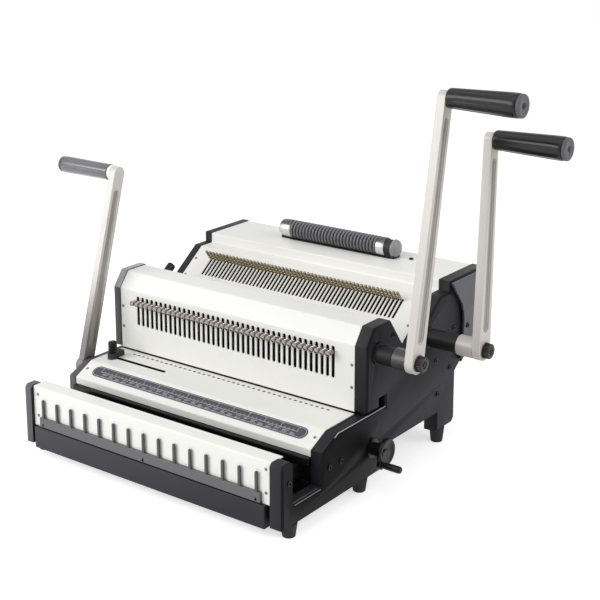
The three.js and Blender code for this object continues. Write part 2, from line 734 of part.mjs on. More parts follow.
// Slot of the rear edge guide in the paper rest, which lies square to the rear face
const restTop = [TOWER_TOP_BACK - SIDE_PROUD, TOWER_TOP - SIDE_PROUD];
const rearGuideSlot = unitBlock(
  rearUnit, GUIDE_SLOT_START, GUIDE_SLOT_START + GUIDE_SLOT_LENGTH,
  -THROAT_GAP - SHEET - OVERRUN, -THROAT_GAP + OVERRUN,
  -REAR_GUIDE_PLACE - GUIDE_SLOT_WIDTH / 2, -REAR_GUIDE_PLACE + GUIDE_SLOT_WIDTH / 2,
);

// Tower cover: slotted face, chamfer, top and the rear paper rest
addPiece("tower_cover", cut(sideExtrusion(sheetOutline([
  [TOWER_FRONT, TOWER_THROAT],
  [TOWER_FRONT, TOWER_CHAMFER_START],
  [TOWER_FRONT + TOWER_CHAMFER_DEPTH, TOWER_TOP - SIDE_PROUD],
  restTop,
  rearPoint(-THROAT_GAP, 0),
], SHEET), -COVER_HALF_WIDTH, COVER_HALF_WIDTH), [...pinSlots(frontUnit), rearGuideSlot]), white);

// Rear cover: slanted slotted face, ledge, riser and top
addPiece("rear_cover", cut(sideExtrusion(sheetOutline([
  rearPoint(0, 0),
  rearPoint(rearAlongAtHeight(REAR_LEDGE), 0),
  [REAR_RISER_Y, REAR_LEDGE],
  [REAR_RISER_Y, REAR_TOP],
  [MACHINE_BACK - SIDE_PROUD, REAR_TOP],
], SHEET), -COVER_HALF_WIDTH, COVER_HALF_WIDTH), pinSlots(rearUnit)), white);

// Back panel with the opening for the chip tray
const panelBack = REAR_LEG_BACK - SIDE_PROUD;
const trayFloor = ARCH_TOP + BASE_WALL + FIT;
const trayOpening = block(
  -TRAY_HALF - FIT, TRAY_HALF + FIT, panelBack - SHEET - OVERRUN, panelBack + OVERRUN,
  trayFloor - FIT, trayFloor + TRAY_HEIGHT + FIT,
);
addPiece("back_panel", cut(sideExtrusion(sheetOutline([
  [MACHINE_BACK - SIDE_PROUD, REAR_TOP - SHEET - FIT],
  [MACHINE_BACK - SIDE_PROUD, OVERHANG_BACK_BOTTOM + SIDE_PROUD],
  [panelBack, OVERHANG_BOTTOM + SIDE_PROUD],
  [panelBack, ARCH_TOP],
], -SHEET), -COVER_HALF_WIDTH, COVER_HALF_WIDTH), [trayOpening]), black);

// Punch unit pieces: die block, ram with its punches, and the row of pull pins
const leverSwing = THREE.MathUtils.degToRad(LEVER_SWEEP_DEG / 2);
const ramBack = RAM_DEPTH + RAM_THICK;
const punchMiddle = RAM_DEPTH + RAM_THICK / 2;

// Where a unit's drive pin stands at rest, and how far its crank reaches half way
function drivePin(unit) {
  return [
    unit.shaftAlong + unit.crankRadius * Math.sin(leverSwing),
    unit.shaftDepth - unit.crankRadius * Math.cos(leverSwing),
  ];
}

function dieBlock(unit) {
  const front = SHEET + DIE_SETBACK;
  const low = -THROAT_GAP - FIT;
  const section = unitSection(unit, [
    [low - DIE_DEPTH_BELOW, front], [low, front], [low, unit.throatDepth],
    [FIT, unit.throatDepth], [FIT, front], [unit.guideHeight, front],
    [unit.guideHeight, unit.dieBack], [low - DIE_DEPTH_BELOW, unit.dieBack],
  ], -COVER_HALF_WIDTH, COVER_HALF_WIDTH);
  const reach = PUNCH_THICK / 2 + FIT;
  const holes = rowPlaces(unit).map((x) => unitBlock(
    unit, x - unit.punchWidth / 2 - FIT, x + unit.punchWidth / 2 + FIT,
    low - DIE_DEPTH_BELOW - OVERRUN, low + FIT, punchMiddle - reach, punchMiddle + reach,
  ));
  const guideHalf = halfRow(unit) + unit.pitch / 2;
  const guide = unitBlock(
    unit, -guideHalf, guideHalf, -FIT, unit.guideHeight + OVERRUN,
    punchMiddle - reach, punchMiddle + reach,
  );
  return cut(section, [guide, ...holes]);
}

// A comb drawn across and along the unit: a root strip with one punch per hole
function combOutline(unit) {
  const half = halfRow(unit) + unit.pitch / 2;
  const root = unit.ramBottom;
  const points = [[half, root + OVERRUN], [-half, root + OVERRUN], [-half, root]];
  rowPlaces(unit).forEach((x) => {
    points.push([x - unit.punchWidth / 2, root], [x - unit.punchWidth / 2, PUNCH_CLEAR]);
    points.push([x + unit.punchWidth / 2, PUNCH_CLEAR], [x + unit.punchWidth / 2, root]);
  });
  points.push([half, root]);
  return points;
}

// Ears at the ram's ends hold the slots for the drive pins
function ramEar(unit, side) {
  const [pinAlong, pinDepth] = drivePin(unit);
  const back = unit.shaftDepth - SHAFT_RADIUS - DRIVE_SLACK;
  const high = pinAlong + RAM_EAR_HALF_HEIGHT;
  const low = pinAlong - RAM_EAR_HALF_HEIGHT;
  const bendDepth = SHEET * Math.hypot(1, unit.bendRatio) + RAM_TO_COVER;
  const kink = unit.bendStart + (RAM_DEPTH - bendDepth) / unit.bendRatio;
  const tip = kink < high
    ? [[kink, RAM_DEPTH], [high, RAM_DEPTH + (high - kink) * unit.bendRatio]]
    : [[high, RAM_DEPTH]];
  const outer = side * RAM_HALF;
  const inner = side * (RAM_HALF - RAM_EAR_WIDTH);
  const slack = DRIVE_PIN_RADIUS + DRIVE_SLACK;
  const nearest = unit.shaftDepth - unit.crankRadius;
  return {
    solid: unitSection(unit, [
      [low, RAM_DEPTH], ...tip, [high, back], [low, back],
    ], Math.min(inner, outer), Math.max(inner, outer)),
    slot: unitBlock(
      unit, Math.min(inner, outer + side * OVERRUN), Math.max(inner, outer + side * OVERRUN),
      pinAlong - slack, pinAlong + slack, nearest - slack, back + OVERRUN + pinDepth,
    ),
  };
}

function ram(unit) {
  const plate = unitBlock(
    unit, -RAM_HALF, RAM_HALF, unit.ramBottom, unit.ramTop, RAM_DEPTH, ramBack,
  );
  const tongueHalf = COVER_HALF_WIDTH - FIT;
  const tongue = unitBlock(
    unit, -tongueHalf, tongueHalf, unit.tongueBottom, unit.tongueTop, RAM_DEPTH, ramBack,
  );
  const comb = new THREE.ExtrudeGeometry(shapeOf(combOutline(unit)), {
    depth: PUNCH_THICK, bevelEnabled: false,
  }).applyMatrix4(unitFrame(unit, 0, punchMiddle + PUNCH_THICK / 2));
  const ears = [ramEar(unit, -1), ramEar(unit, 1)];
  const pinHalf = halfRow(unit) + PIN_STEM_RADIUS + FIT;
  const pinReach = PIN_STEM_RADIUS + FIT;
  const pinSlot = unitBlock(
    unit, -pinHalf, pinHalf, unit.pinPlace - pinReach, unit.pinPlace + pinReach,
    RAM_DEPTH - OVERRUN, ramBack + OVERRUN,
  );
  return cut(
    joined([plate, tongue, comb, ...ears.map((ear) => ear.solid)]),
    [pinSlot, ...ears.map((ear) => ear.slot)],
  );
}

// Pull pins: stems that pass the cover and the ram, with heads outside and one rail inside
function pullPins(unit) {
  const railFront = ramBack + PIN_PULL + FIT;
  const stem = PIN_REACH - PIN_HEAD_LENGTH;
  const pins = rowPlaces(unit).map((x) => new THREE.LatheGeometry([
    new THREE.Vector2(0, -railFront - PIN_RAIL_THICK / 2),
    new THREE.Vector2(PIN_STEM_RADIUS, -railFront - PIN_RAIL_THICK / 2),
    new THREE.Vector2(PIN_STEM_RADIUS, stem),
    new THREE.Vector2(unit.pinHeadRadius, stem),
    new THREE.Vector2(unit.pinHeadRadius, PIN_REACH),
    new THREE.Vector2(0, PIN_REACH),
  ], PIN_SIDES).rotateX(Math.PI / 2).translate(x, 0, 0)
    .applyMatrix4(unitFrame(unit, unit.pinPlace, 0)));
  const half = halfRow(unit) + PIN_STEM_RADIUS;
  const rail = unitBlock(
    unit, -half, half,
    unit.pinPlace - PIN_RAIL_HEIGHT / 2, unit.pinPlace + PIN_RAIL_HEIGHT / 2,
    railFront, railFront + PIN_RAIL_THICK,
  );
  return joined([rail, ...pins]);
}

units.forEach((unit) => {
  addPiece(`${unit.name}_die_block`, dieBlock(unit), steel);
  addPiece(`${unit.name}_ram`, ram(unit), steel);
  addPiece(`${unit.name}_pull_pins`, pullPins(unit), steel);
});

// Tie bars that hold the two side frames apart
Object.entries(TIE_PLACES).forEach(([name, { y, z }]) => {
  addPiece(name, roundX(TIE_RADIUS, -COVER_HALF_WIDTH, COVER_HALF_WIDTH, y, z), steel);
});

// Levers lean back by their own angle: a point along the arm and across it
function leverPoint(lever, along, across) {
  const lean = THREE.MathUtils.degToRad(lever.lean);
  return [
    lever.shaftY + along * Math.sin(lean) + across * Math.cos(lean),
    lever.shaftZ + along * Math.cos(lean) - across * Math.sin(lean),
  ];
}

// The tapering side view of an arm between two places along it
function armSection(lever, bottomWidth, topWidth, from, to) {
  const half = (along) => (bottomWidth + (topWidth - bottomWidth) * along / lever.length) / 2;
  return [
    leverPoint(lever, from, -half(from)), leverPoint(lever, to, -half(to)),
    leverPoint(lever, to, half(to)), leverPoint(lever, from, half(from)),
  ];
}

const outwards = (lever) => Math.sign(lever.outer);

// A round bar between two x places given in either order
function barBetween(radius, firstX, secondX, y, z, sides = ROUND_SIDES) {
  return roundX(radius, Math.min(firstX, secondX), Math.max(firstX, secondX), y, z, sides);
}

function leverArm(lever, thick, bottomWidth, topWidth, bossRadius, shaftRadius) {
  const side = outwards(lever);
  const inner = lever.outer - side * thick;
  const low = Math.min(lever.outer, inner);
  const high = Math.max(lever.outer, inner);
  const top = leverPoint(lever, lever.length, 0);
  const grooveEnds = [lever.outer - side * GROOVE_DEPTH, lever.outer + side * OVERRUN];
  const groove = sideExtrusion(armSection(
    lever, bottomWidth * GROOVE_WIDTH_SHARE, topWidth * GROOVE_WIDTH_SHARE,
    GROOVE_START, lever.length - GROOVE_END,
  ), Math.min(...grooveEnds), Math.max(...grooveEnds));
  const bossEnd = inner - side * lever.boss;
  const arm = joined([
    sideExtrusion(armSection(lever, bottomWidth, topWidth, 0, lever.length), low, high),
    barBetween(topWidth / 2, low, high, ...top),
    barBetween(bossRadius, bossEnd, lever.outer, ...shaftSpot(lever)),
  ]);
  const bore = barBetween(
    shaftRadius + FIT, bossEnd - side * OVERRUN, lever.outer + side * OVERRUN,
    ...shaftSpot(lever), SHAFT_SIDES,
  );
  return cut(arm, [groove, bore]);
}

// A grip or cap at the lever's end, from one distance beyond the arm to another
function gripPiece(lever, from, to, innerRadius, outerRadius) {
  const side = outwards(lever);
  const ends = [lever.outer + side * from, lever.outer + side * to];
  const [y, z] = leverPoint(lever, lever.length, 0);
  return side > 0
    ? roundX(innerRadius, ends[0], ends[1], y, z, ROUND_SIDES, outerRadius)
    : roundX(outerRadius, ends[1], ends[0], y, z, ROUND_SIDES, innerRadius);
}

// A shaft with two crank arms, each with a drive pin that points to the middle
function crankShaft(spot, radius, fromX, toX, crank) {
  const [y, z] = spot;
  const arms = [-1, 1].flatMap((side) => {
    const inner = side * crank.innerX;
    const outer = side * (crank.innerX + crank.thick);
    return [
      sideExtrusion(crank.armOutline, Math.min(inner, outer), Math.max(inner, outer)),
      barBetween(crank.hubRadius, inner, outer, y, z, SHAFT_SIDES),
      barBetween(crank.endRadius, inner, outer, ...crank.pinSpot, SMALL_SIDES),
      barBetween(
        crank.pinRadius, inner - side * crank.pinLength, outer, ...crank.pinSpot, SMALL_SIDES,
      ),
    ];
  });
  return joined([roundX(radius, fromX, toX, y, z, SHAFT_SIDES), ...arms]);
}

// The straight flanks of a crank arm between its hub and its pin
function flanks(from, to, half) {
  const length = Math.hypot(to[0] - from[0], to[1] - from[1]);
  const across = [-(to[1] - from[1]) * half / length, (to[0] - from[0]) * half / length];
  return [
    [from[0] + across[0], from[1] + across[1]], [from[0] - across[0], from[1] - across[1]],
    [to[0] - across[0], to[1] - across[1]], [to[0] + across[0], to[1] + across[1]],
  ];
}

function unitShaft(unit) {
  const lever = unit.lever;
  const pinSpot = unit.place(...drivePin(unit));
  return crankShaft(shaftSpot(lever), SHAFT_RADIUS, leftBlindEnd + FIT, lever.outer, {
    innerX: RAM_HALF + OVERRUN,
    thick: CRANK_ARM_THICK,
    pinLength: RAM_EAR_WIDTH,
    pinRadius: DRIVE_PIN_RADIUS,
    hubRadius: CRANK_ARM_HUB_RADIUS,
    endRadius: CRANK_ARM_END_RADIUS,
    pinSpot,
    armOutline: flanks(shaftSpot(lever), pinSpot, CRANK_ARM_END_RADIUS),
  });
}

units.forEach((unit) => {
  const lever = unit.lever;
  const bossEnd = lever.outer - ARM_THICK - lever.boss;
  addPiece(`${unit.name}_lever_arm`, leverArm(
    lever, ARM_THICK, ARM_BOTTOM_WIDTH, ARM_TOP_WIDTH, BOSS_RADIUS, SHAFT_RADIUS,
  ), cast);
  addPiece(`${unit.name}_lever_shaft`, unitShaft(unit), steel);
  addPiece(`${unit.name}_lever_grip`, gripPiece(
    lever, FIT, GRIP_LENGTH, GRIP_INNER_RADIUS, GRIP_OUTER_RADIUS,
  ), gloss);
  addPiece(`${unit.name}_lever_grip_cap`, gripPiece(
    lever, GRIP_LENGTH + FIT, GRIP_LENGTH + FIT + GRIP_CAP_LENGTH,
    GRIP_OUTER_RADIUS, GRIP_OUTER_RADIUS,
  ), rubber);
  addPiece(`${unit.name}_lever_bolt`, barBetween(
    BOLT_RADIUS, lever.outer + FIT, lever.outer + FIT + BOLT_LENGTH, ...shaftSpot(lever),
  ), rubber);
  addPiece(`${unit.name}_lever_sleeve`, cut(
    barBetween(SLEEVE_RADIUS, RIGHT_FACE + FIT, bossEnd - FIT, ...shaftSpot(lever)),
    [boreAt(shaftSpot(lever), SHAFT_RADIUS, RIGHT_FACE - OVERRUN, bossEnd + OVERRUN)],
  ), rubber);
});

// Closing lever on the left, with the cranks that drive the press jaw
addPiece("closer_lever_arm", leverArm(
  closerLever, CLOSER_ARM_THICK, CLOSER_ARM_BOTTOM_WIDTH, CLOSER_ARM_TOP_WIDTH,
  BOSS_RADIUS, CLOSER_SHAFT_RADIUS,
), cast);
addPiece("closer_lever_grip", gripPiece(
  closerLever, FIT, CLOSER_GRIP_LENGTH, CLOSER_GRIP_RADIUS, CLOSER_GRIP_RADIUS,
), gloss);
addPiece("closer_lever_grip_cap", gripPiece(
  closerLever, CLOSER_GRIP_LENGTH + FIT, CLOSER_GRIP_LENGTH + FIT + GRIP_CAP_LENGTH,
  CLOSER_GRIP_RADIUS, CLOSER_GRIP_RADIUS,
), rubber);
addPiece("closer_lever_bolt", barBetween(
  CLOSER_BOLT_RADIUS, closerLever.outer - FIT, closerLever.outer - FIT - CLOSER_BOLT_LENGTH,
  ...shaftSpot(closerLever),
), rubber);
const jawPinSpot = [jawPinY, jawPinHigh];
addPiece("closer_lever_shaft", crankShaft(
  shaftSpot(closerLever), CLOSER_SHAFT_RADIUS, closerLever.outer, rightBlindEnd - FIT, {
    innerX: JAW_HALF + OVERRUN,
    thick: CRANK_ARM_THICK,
    pinLength: JAW_ARM_WIDTH + OVERRUN,
    pinRadius: JAW_CRANK_PIN_RADIUS,
    hubRadius: CRANK_ARM_HUB_RADIUS,
    endRadius: JAW_CRANK_WIDTH / 2,
    pinSpot: jawPinSpot,
    armOutline: flanks(shaftSpot(closerLever), jawPinSpot, JAW_CRANK_WIDTH / 2),
  },
), steel);

// Crank that sets the jaw's stop: knob, spinning handle pin and spindle with its cam
const hubEnd = RIGHT_FACE + FIT + CRANK_HUB_LENGTH;
const discEnd = hubEnd + CRANK_DISC_THICK;
const crankAngle = THREE.MathUtils.degToRad(CRANK_PIN_ANGLE_DEG);
const crankPinSpot = [
  CRANK_Y + CRANK_PIN_OFFSET * Math.cos(crankAngle),
  CRANK_Z + CRANK_PIN_OFFSET * Math.sin(crankAngle),
];
addPiece("crank_knob", joined([
  roundX(CRANK_HUB_RADIUS, RIGHT_FACE + FIT, hubEnd + OVERRUN, ...crankSpot),
  roundX(CRANK_DISC_RADIUS, hubEnd, discEnd, ...crankSpot),
  roundX(CRANK_LUG_RADIUS, hubEnd, discEnd, ...crankPinSpot),
]), gloss);
addPiece("crank_handle_pin", roundX(
  CRANK_PIN_RADIUS, discEnd + FIT, discEnd + CRANK_PIN_LENGTH, ...crankPinSpot,
), gloss);
const spindleStart = RIGHT_FACE - SPINDLE_LENGTH;
addPiece("crank_spindle", joined([
  roundX(SPINDLE_RADIUS, spindleStart, RIGHT_FACE, ...crankSpot),
  roundX(
    STOP_CAM_RADIUS, spindleStart, spindleStart + STOP_CAM_WIDTH,
    CRANK_Y + STOP_CAM_OFFSET, CRANK_Z,
  ),
]), steel);

// Edge guides: block and tongue, with a clamp knob that turns on the block
function edgeGuide(back) {
  const tongue = GUIDE_SLOT_WIDTH / 2 - FIT;
  return joined([
    block(
      GUIDE_X - GUIDE_WIDTH / 2, GUIDE_X + GUIDE_WIDTH / 2,
      -GUIDE_FRONT, back, FIT, GUIDE_HEIGHT,
    ),
    block(
      GUIDE_X - GUIDE_WIDTH / 2 + FIT, GUIDE_X + GUIDE_WIDTH / 2 - FIT,
      -tongue, tongue, -GUIDE_TONGUE, FIT + OVERRUN,
    ),
  ]);
}
function guideKnob() {
  return roundZ(
    GUIDE_KNOB_RADIUS, GUIDE_X, -GUIDE_KNOB_SHIFT,
    GUIDE_HEIGHT + FIT, GUIDE_HEIGHT + GUIDE_KNOB_HEIGHT,
  );
}
const restTilt = REAR_TILT - Math.PI / 2;
const restSpot = rearPoint(-THROAT_GAP, -REAR_GUIDE_PLACE);
addPiece("front_edge_guide", edgeGuide(GUIDE_BACK).translate(0, GUIDE_SLOT_Y, TABLE_TOP), rubber);
addPiece("front_guide_knob", guideKnob().translate(0, GUIDE_SLOT_Y, TABLE_TOP), rubber);
addPiece(
  "rear_edge_guide",
  edgeGuide(REAR_GUIDE_BACK).rotateX(restTilt).translate(0, ...restSpot), rubber,
);
addPiece("rear_guide_knob", guideKnob().rotateX(restTilt).translate(0, ...restSpot), rubber);

// Carrying handle: a ribbed grip between two end fittings on the rear top
const handleZ = REAR_TOP + HANDLE_RADIUS + FIT;
function handleGrip() {
  const step = 2 * HANDLE_RIB_HALF / HANDLE_RIB_COUNT;
  const points = [[0, -HANDLE_HALF], [HANDLE_RADIUS, -HANDLE_HALF]];
  for (let rib = 0; rib < HANDLE_RIB_COUNT; rib += 1) {
    const start = -HANDLE_RIB_HALF + rib * step;
    points.push([HANDLE_RADIUS, start]);
    points.push([HANDLE_RADIUS - HANDLE_RIB_HEIGHT, start + step / 2]);
  }
  points.push([HANDLE_RADIUS, HANDLE_RIB_HALF], [HANDLE_RADIUS, HANDLE_HALF], [0, HANDLE_HALF]);
  return new THREE.LatheGeometry(
    points.map(([radius, along]) => new THREE.Vector2(radius, along)), SMALL_SIDES,
  ).rotateZ(-Math.PI / 2).translate(0, HANDLE_Y, handleZ);
}
function handleEnd(fromX, toX) {
  const half = HANDLE_END_DEPTH / 2;
  return joined([
    roundX(HANDLE_RADIUS - HANDLE_RIB_HEIGHT, fromX, toX, HANDLE_Y, handleZ),
    block(fromX, toX, HANDLE_Y - half, HANDLE_Y + half, REAR_TOP + FIT, handleZ),
  ]);
}
const handleEndStart = HANDLE_HALF + FIT;
const handleEndStop = handleEndStart + HANDLE_END_LENGTH;
addPiece("handle_grip", handleGrip(), gloss);
addPiece("handle_left_end", handleEnd(-handleEndStop, -handleEndStart), gloss);
addPiece("handle_right_end", handleEnd(handleEndStart, handleEndStop), gloss);

// Feet: three rubber feet under the middle of each side frame
const footX = { left: (LEFT_OUTER + LEFT_INNER) / 2, right: (RIGHT_INNER + RIGHT_OUTER) / 2 };
Object.entries(FOOT_PLACES).forEach(([place, y]) => {
  const top = (place === "rear" ? LEG_BOTTOM : FOOT_HEIGHT) - FIT;
  Object.entries(footX).forEach(([side, x]) => {
    addPiece(`foot_${place}_${side}`, roundZ(
      FOOT_BOTTOM_RADIUS, x, y, 0, top, SHAFT_SIDES, FOOT_TOP_RADIUS,
    ), rubber);
  });
});

// Chip tray: an open box under both dies that slides out at the back
addPiece("chip_tray", cut(
  block(-TRAY_HALF, TRAY_HALF, TRAY_FRONT, REAR_LEG_BACK, trayFloor, trayFloor + TRAY_HEIGHT),
  [block(
    -TRAY_HALF + TRAY_WALL, TRAY_HALF - TRAY_WALL, TRAY_FRONT + TRAY_WALL,
    REAR_LEG_BACK - TRAY_WALL, trayFloor + TRAY_WALL, trayFloor + TRAY_HEIGHT + OVERRUN,
  )],
), black);

// The origin stands on the ground under the middle of the overall box
const overall = new THREE.Box3().setFromObject(machine);
const middle = overall.getCenter(new THREE.Vector3());
machine.position.set(-middle.x, -middle.y, -overall.min.z);

export default machine;
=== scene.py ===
# Desk wire binding machine: two lever punches with pull pins, and a wire closer along the front.
import bpy
import bmesh
import json
import math
from mathutils import Matrix, Vector


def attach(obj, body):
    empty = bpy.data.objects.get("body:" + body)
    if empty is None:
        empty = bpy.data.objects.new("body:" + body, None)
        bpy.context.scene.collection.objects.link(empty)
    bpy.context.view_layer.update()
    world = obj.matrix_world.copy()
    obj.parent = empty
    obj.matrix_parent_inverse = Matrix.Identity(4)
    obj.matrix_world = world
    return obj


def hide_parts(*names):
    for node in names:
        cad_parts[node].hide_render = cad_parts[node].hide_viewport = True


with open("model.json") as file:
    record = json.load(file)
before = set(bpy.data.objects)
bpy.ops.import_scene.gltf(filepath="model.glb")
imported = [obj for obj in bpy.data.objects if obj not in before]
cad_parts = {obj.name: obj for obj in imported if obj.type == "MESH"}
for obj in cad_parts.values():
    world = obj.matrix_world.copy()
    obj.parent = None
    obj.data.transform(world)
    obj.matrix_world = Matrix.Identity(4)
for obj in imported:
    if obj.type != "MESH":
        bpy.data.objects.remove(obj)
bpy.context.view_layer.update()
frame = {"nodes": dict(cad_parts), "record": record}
RECORD = frame["record"]
BODY_OF = {node: body for body, nodes in RECORD["behaviour"]["bodies"].items() for node in nodes}
SLOT_OF = {part["node"]: part["material_slot"] for part in RECORD["subparts"]}

# Pieces are drawn in millimetres: x from the middle of the punching width, y to the back,
# z up from the desk. This moves them to the frame, in metres.
TO_FRAME = Matrix.Translation((-0.03825, -0.00295, 0)) @ Matrix.Scale(0.001, 4)

FIT = 0.3
COVER_HALF = 198.0
SHEET = 1.5
RIGHT_FACE = 217.7
LEFT_FACE = -209.3
TILT = math.radians(37)
UP_Y, UP_Z = math.cos(TILT), math.sin(TILT)
THROAT = (44.4, 153.8)
FRONT_FACE = -55.0
CLOSER_PLATE = -224.1
CLOSER_FRONT = -228.6


def rear_point(along, depth):
    """A side view point of the rear unit: along its slanted face, and into the unit."""
    return (THROAT[0] + along * UP_Y + depth * UP_Z, THROAT[1] + along * UP_Z - depth * UP_Y)


# ---------------------------------------------------------------- camera
def aim_camera():
    """The photograph's viewpoint, from the fit of its straight edges."""
    azimuth, pitch, roll = math.radians(37.08), math.radians(13.498), math.radians(-0.171)
    ahead = Vector((
        -math.sin(azimuth) * math.cos(pitch), math.cos(azimuth) * math.cos(pitch), -math.sin(pitch),
    ))
    right = Vector((math.cos(azimuth), math.sin(azimuth), 0))
    up = right.cross(ahead)
    side = right * math.cos(roll) + up * math.sin(roll)
    top = up * math.cos(roll) - right * math.sin(roll)
    camera = bpy.data.objects.new("photo_camera", bpy.data.cameras.new("photo_camera"))
    turn = Matrix((side, top, -ahead)).transposed()
    camera.matrix_world = Matrix.Translation(TO_FRAME @ Vector((1068.9, -1350.84, 761.82))) \
        @ turn.to_4x4()
    camera.data.sensor_width = 36
    camera.data.lens = 36 * 1343.893 / 600
    camera.data.shift_x = (300 - 284.138) / 600
    camera.data.shift_y = (189.401 - 300) / 600
    camera.data.clip_start, camera.data.clip_end = 0.05, 60
    bpy.context.scene.collection.objects.link(camera)
    bpy.context.scene.camera = camera


aim_camera()


# ---------------------------------------------------------------- materials
def linear(red, green, blue):
    def one(value):
        value /= 255
        return value / 12.92 if value <= 0.04045 else ((value + 0.055) / 1.055) ** 2.4
    return (one(red), one(green), one(blue), 1)


def finish(name, colour, rough, metal=0.0, coat=0.0, mottle=(30, 0.04), grain=(0.5, 0.02),
           rough_spread=0.06, stretch=(1, 1, 1), specular=0.5, fade=None, patch=None):
    """One finish: a colour that drifts a little, uneven gloss, and a fine surface grain.

    mottle is its size in mm and how far the colour drifts; grain is its size and depth in mm.
    fade is (axis, from, to, share): the colour falls to that share between two places in mm, as
    painted light and shade.
    patch is (x, y, z, inner, outer, share): the same from a spot outwards, darkest on the spot, as
    painted shade.
    """
    made = bpy.data.materials.new(name)
    made.use_nodes = True
    tree = made.node_tree
    shader = tree.nodes["Principled BSDF"]
    shader.inputs["Metallic"].default_value = metal
    shader.inputs["Coat Weight"].default_value = coat
    shader.inputs["Coat Roughness"].default_value = 0.08
    shader.inputs["Specular IOR Level"].default_value = specular
    where = tree.nodes.new("ShaderNodeTexCoord")
    mapping = tree.nodes.new("ShaderNodeMapping")
    mapping.inputs["Scale"].default_value = stretch
    tree.links.new(where.outputs["Object"], mapping.inputs["Vector"])

    def noise(size, detail):
        node = tree.nodes.new("ShaderNodeTexNoise")
        node.inputs["Scale"].default_value = 1000 / size
        node.inputs["Detail"].default_value = detail
        tree.links.new(mapping.outputs["Vector"], node.inputs["Vector"])
        return node

    drift = noise(mottle[0], 3)
    blend = tree.nodes.new("ShaderNodeMix")
    blend.data_type = "RGBA"
    blend.inputs["A"].default_value = tuple(c * (1 - mottle[1]) for c in colour[:3]) + (1,)
    blend.inputs["B"].default_value = tuple(
        min(1, c * (1 + mottle[1])) for c in colour[:3]) + (1,)
    tree.links.new(drift.outputs["Fac"], blend.inputs["Factor"])
    hue = blend.outputs["Result"]
    if fade or patch:
        dim = tree.nodes.new("ShaderNodeMapRange")
        dim.interpolation_type = "SMOOTHSTEP"
        if fade:
            axes = tree.nodes.new("ShaderNodeSeparateXYZ")
            tree.links.new(where.outputs["Object"], axes.inputs["Vector"])
            place, ends = axes.outputs[fade[0]], (fade[1], fade[2], 1.0, fade[3])
        else:
            away = tree.nodes.new("ShaderNodeVectorMath")
            away.operation = "DISTANCE"
            away.inputs[1].default_value = TO_FRAME @ Vector(patch[:3])
            tree.links.new(where.outputs["Object"], away.inputs[0])
            place, ends = away.outputs["Value"], (patch[3], patch[4], patch[5], 1.0)
        for label, value in zip(("From Min", "From Max"), ends):
            dim.inputs[label].default_value = value / 1000
        for label, value in zip(("To Min", "To Max"), ends[2:]):
            dim.inputs[label].default_value = value
        tree.links.new(place, dim.inputs["Value"])
        scaled = tree.nodes.new("ShaderNodeVectorMath")
        scaled.operation = "SCALE"
        tree.links.new(hue, scaled.inputs[0])
        tree.links.new(dim.outputs["Result"], scaled.inputs["Scale"])
        hue = scaled.outputs["Vector"]
    tree.links.new(hue, shader.inputs["Base Color"])
    gloss = noise(mottle[0] * 0.4, 2)
    spread = tree.nodes.new("ShaderNodeMapRange")
    spread.inputs["To Min"].default_value = max(0.02, rough - rough_spread)
    spread.inputs["To Max"].default_value = min(1, rough + rough_spread)
    tree.links.new(gloss.outputs["Fac"], spread.inputs["Value"])
    tree.links.new(spread.outputs["Result"], shader.inputs["Roughness"])
    fine = noise(grain[0], 2)
    bump = tree.nodes.new("ShaderNodeBump")
    bump.inputs["Strength"].default_value = 0.6
    bump.inputs["Distance"].default_value = grain[1] / 1000
    tree.links.new(fine.outputs["Fac"], bump.inputs["Height"])
    tree.links.new(bump.outputs["Normal"], shader.inputs["Normal"])
    return made


COATED_WHITE = finish("coated_white", linear(241, 241, 236), 0.42, grain=(0.6, 0.03),
                      mottle=(60, 0.012))
COATED_BLACK = finish("coated_black", linear(33, 33, 36), 0.5, grain=(0.5, 0.05),
                      mottle=(40, 0.12), specular=0.2)
# Right side cover black with painted shade: it darkens towards a low spot at the front, by the front
# post
SIDE_BLACK_SHADED_FRONT = finish("side_cover_black_painted_shade", linear(47, 47, 50), 0.5, grain=(0.5, 0.05),
                    mottle=(40, 0.12), specular=0.08, patch=(217, -138, 54, 46, 130, 0.03))
# Painted light: a paler, lit copy of the frame black for the left frame's front-facing edges
LEFT_FRAME_LIT_BLACK = finish("left_frame_painted_light_black", linear(80, 80, 85), 0.42, grain=(0.5, 0.05),
                    mottle=(40, 0.1), specular=0.4)
# Painted highlight: a pale grey on the upward chamfers of the left frame's tower
TOWER_CHAMFER_HIGHLIGHT = finish("tower_chamfer_painted_highlight", linear(170, 170, 174), 0.42, grain=(0.5, 0.05),
                   mottle=(12, 0.2), specular=0.5)
# Painted shade: a near-black for the notch, the side cover's upright and rear chamfers, and the guide
# slot's walls
SHADE_BLACK = finish("painted_shade_black", linear(8, 8, 9), 0.55, grain=(0.5, 0.04),
                     mottle=(20, 0.15), specular=0.15)
# Painted highlight: a pale grey for thin wires along lit edges
HIGHLIGHT_GREY = finish("painted_highlight_grey", linear(168, 168, 170), 0.4, grain=(0.4, 0.02), mottle=(9, 0.25))
RAISED_BLACK = finish("raised_cover_black", linear(74, 74, 78), 0.48, grain=(0.5, 0.05),
                      mottle=(40, 0.1))
RACK_BLACK = finish("rack_black", linear(92, 92, 96), 0.42, grain=(0.5, 0.04), mottle=(50, 0.08))
FINGER_BLACK = finish("finger_black", linear(68, 68, 71), 0.4, grain=(0.5, 0.03), mottle=(6, 0.15))
# Painted shade: a near-black for the dies, rams, tie bars and press jaw, so the slots and the trough
# read dark
INNER_SHADE_BLACK = finish("inner_painted_shade_black", linear(14, 14, 15), 0.5, metal=0.2, grain=(0.4, 0.03),
                   mottle=(15, 0.15), specular=0.2)
SLEEVE_BLACK = finish("sleeve_black", linear(18, 18, 19), 0.5, metal=0.2, grain=(0.4, 0.02),
                      mottle=(8, 0.15), specular=0.3)
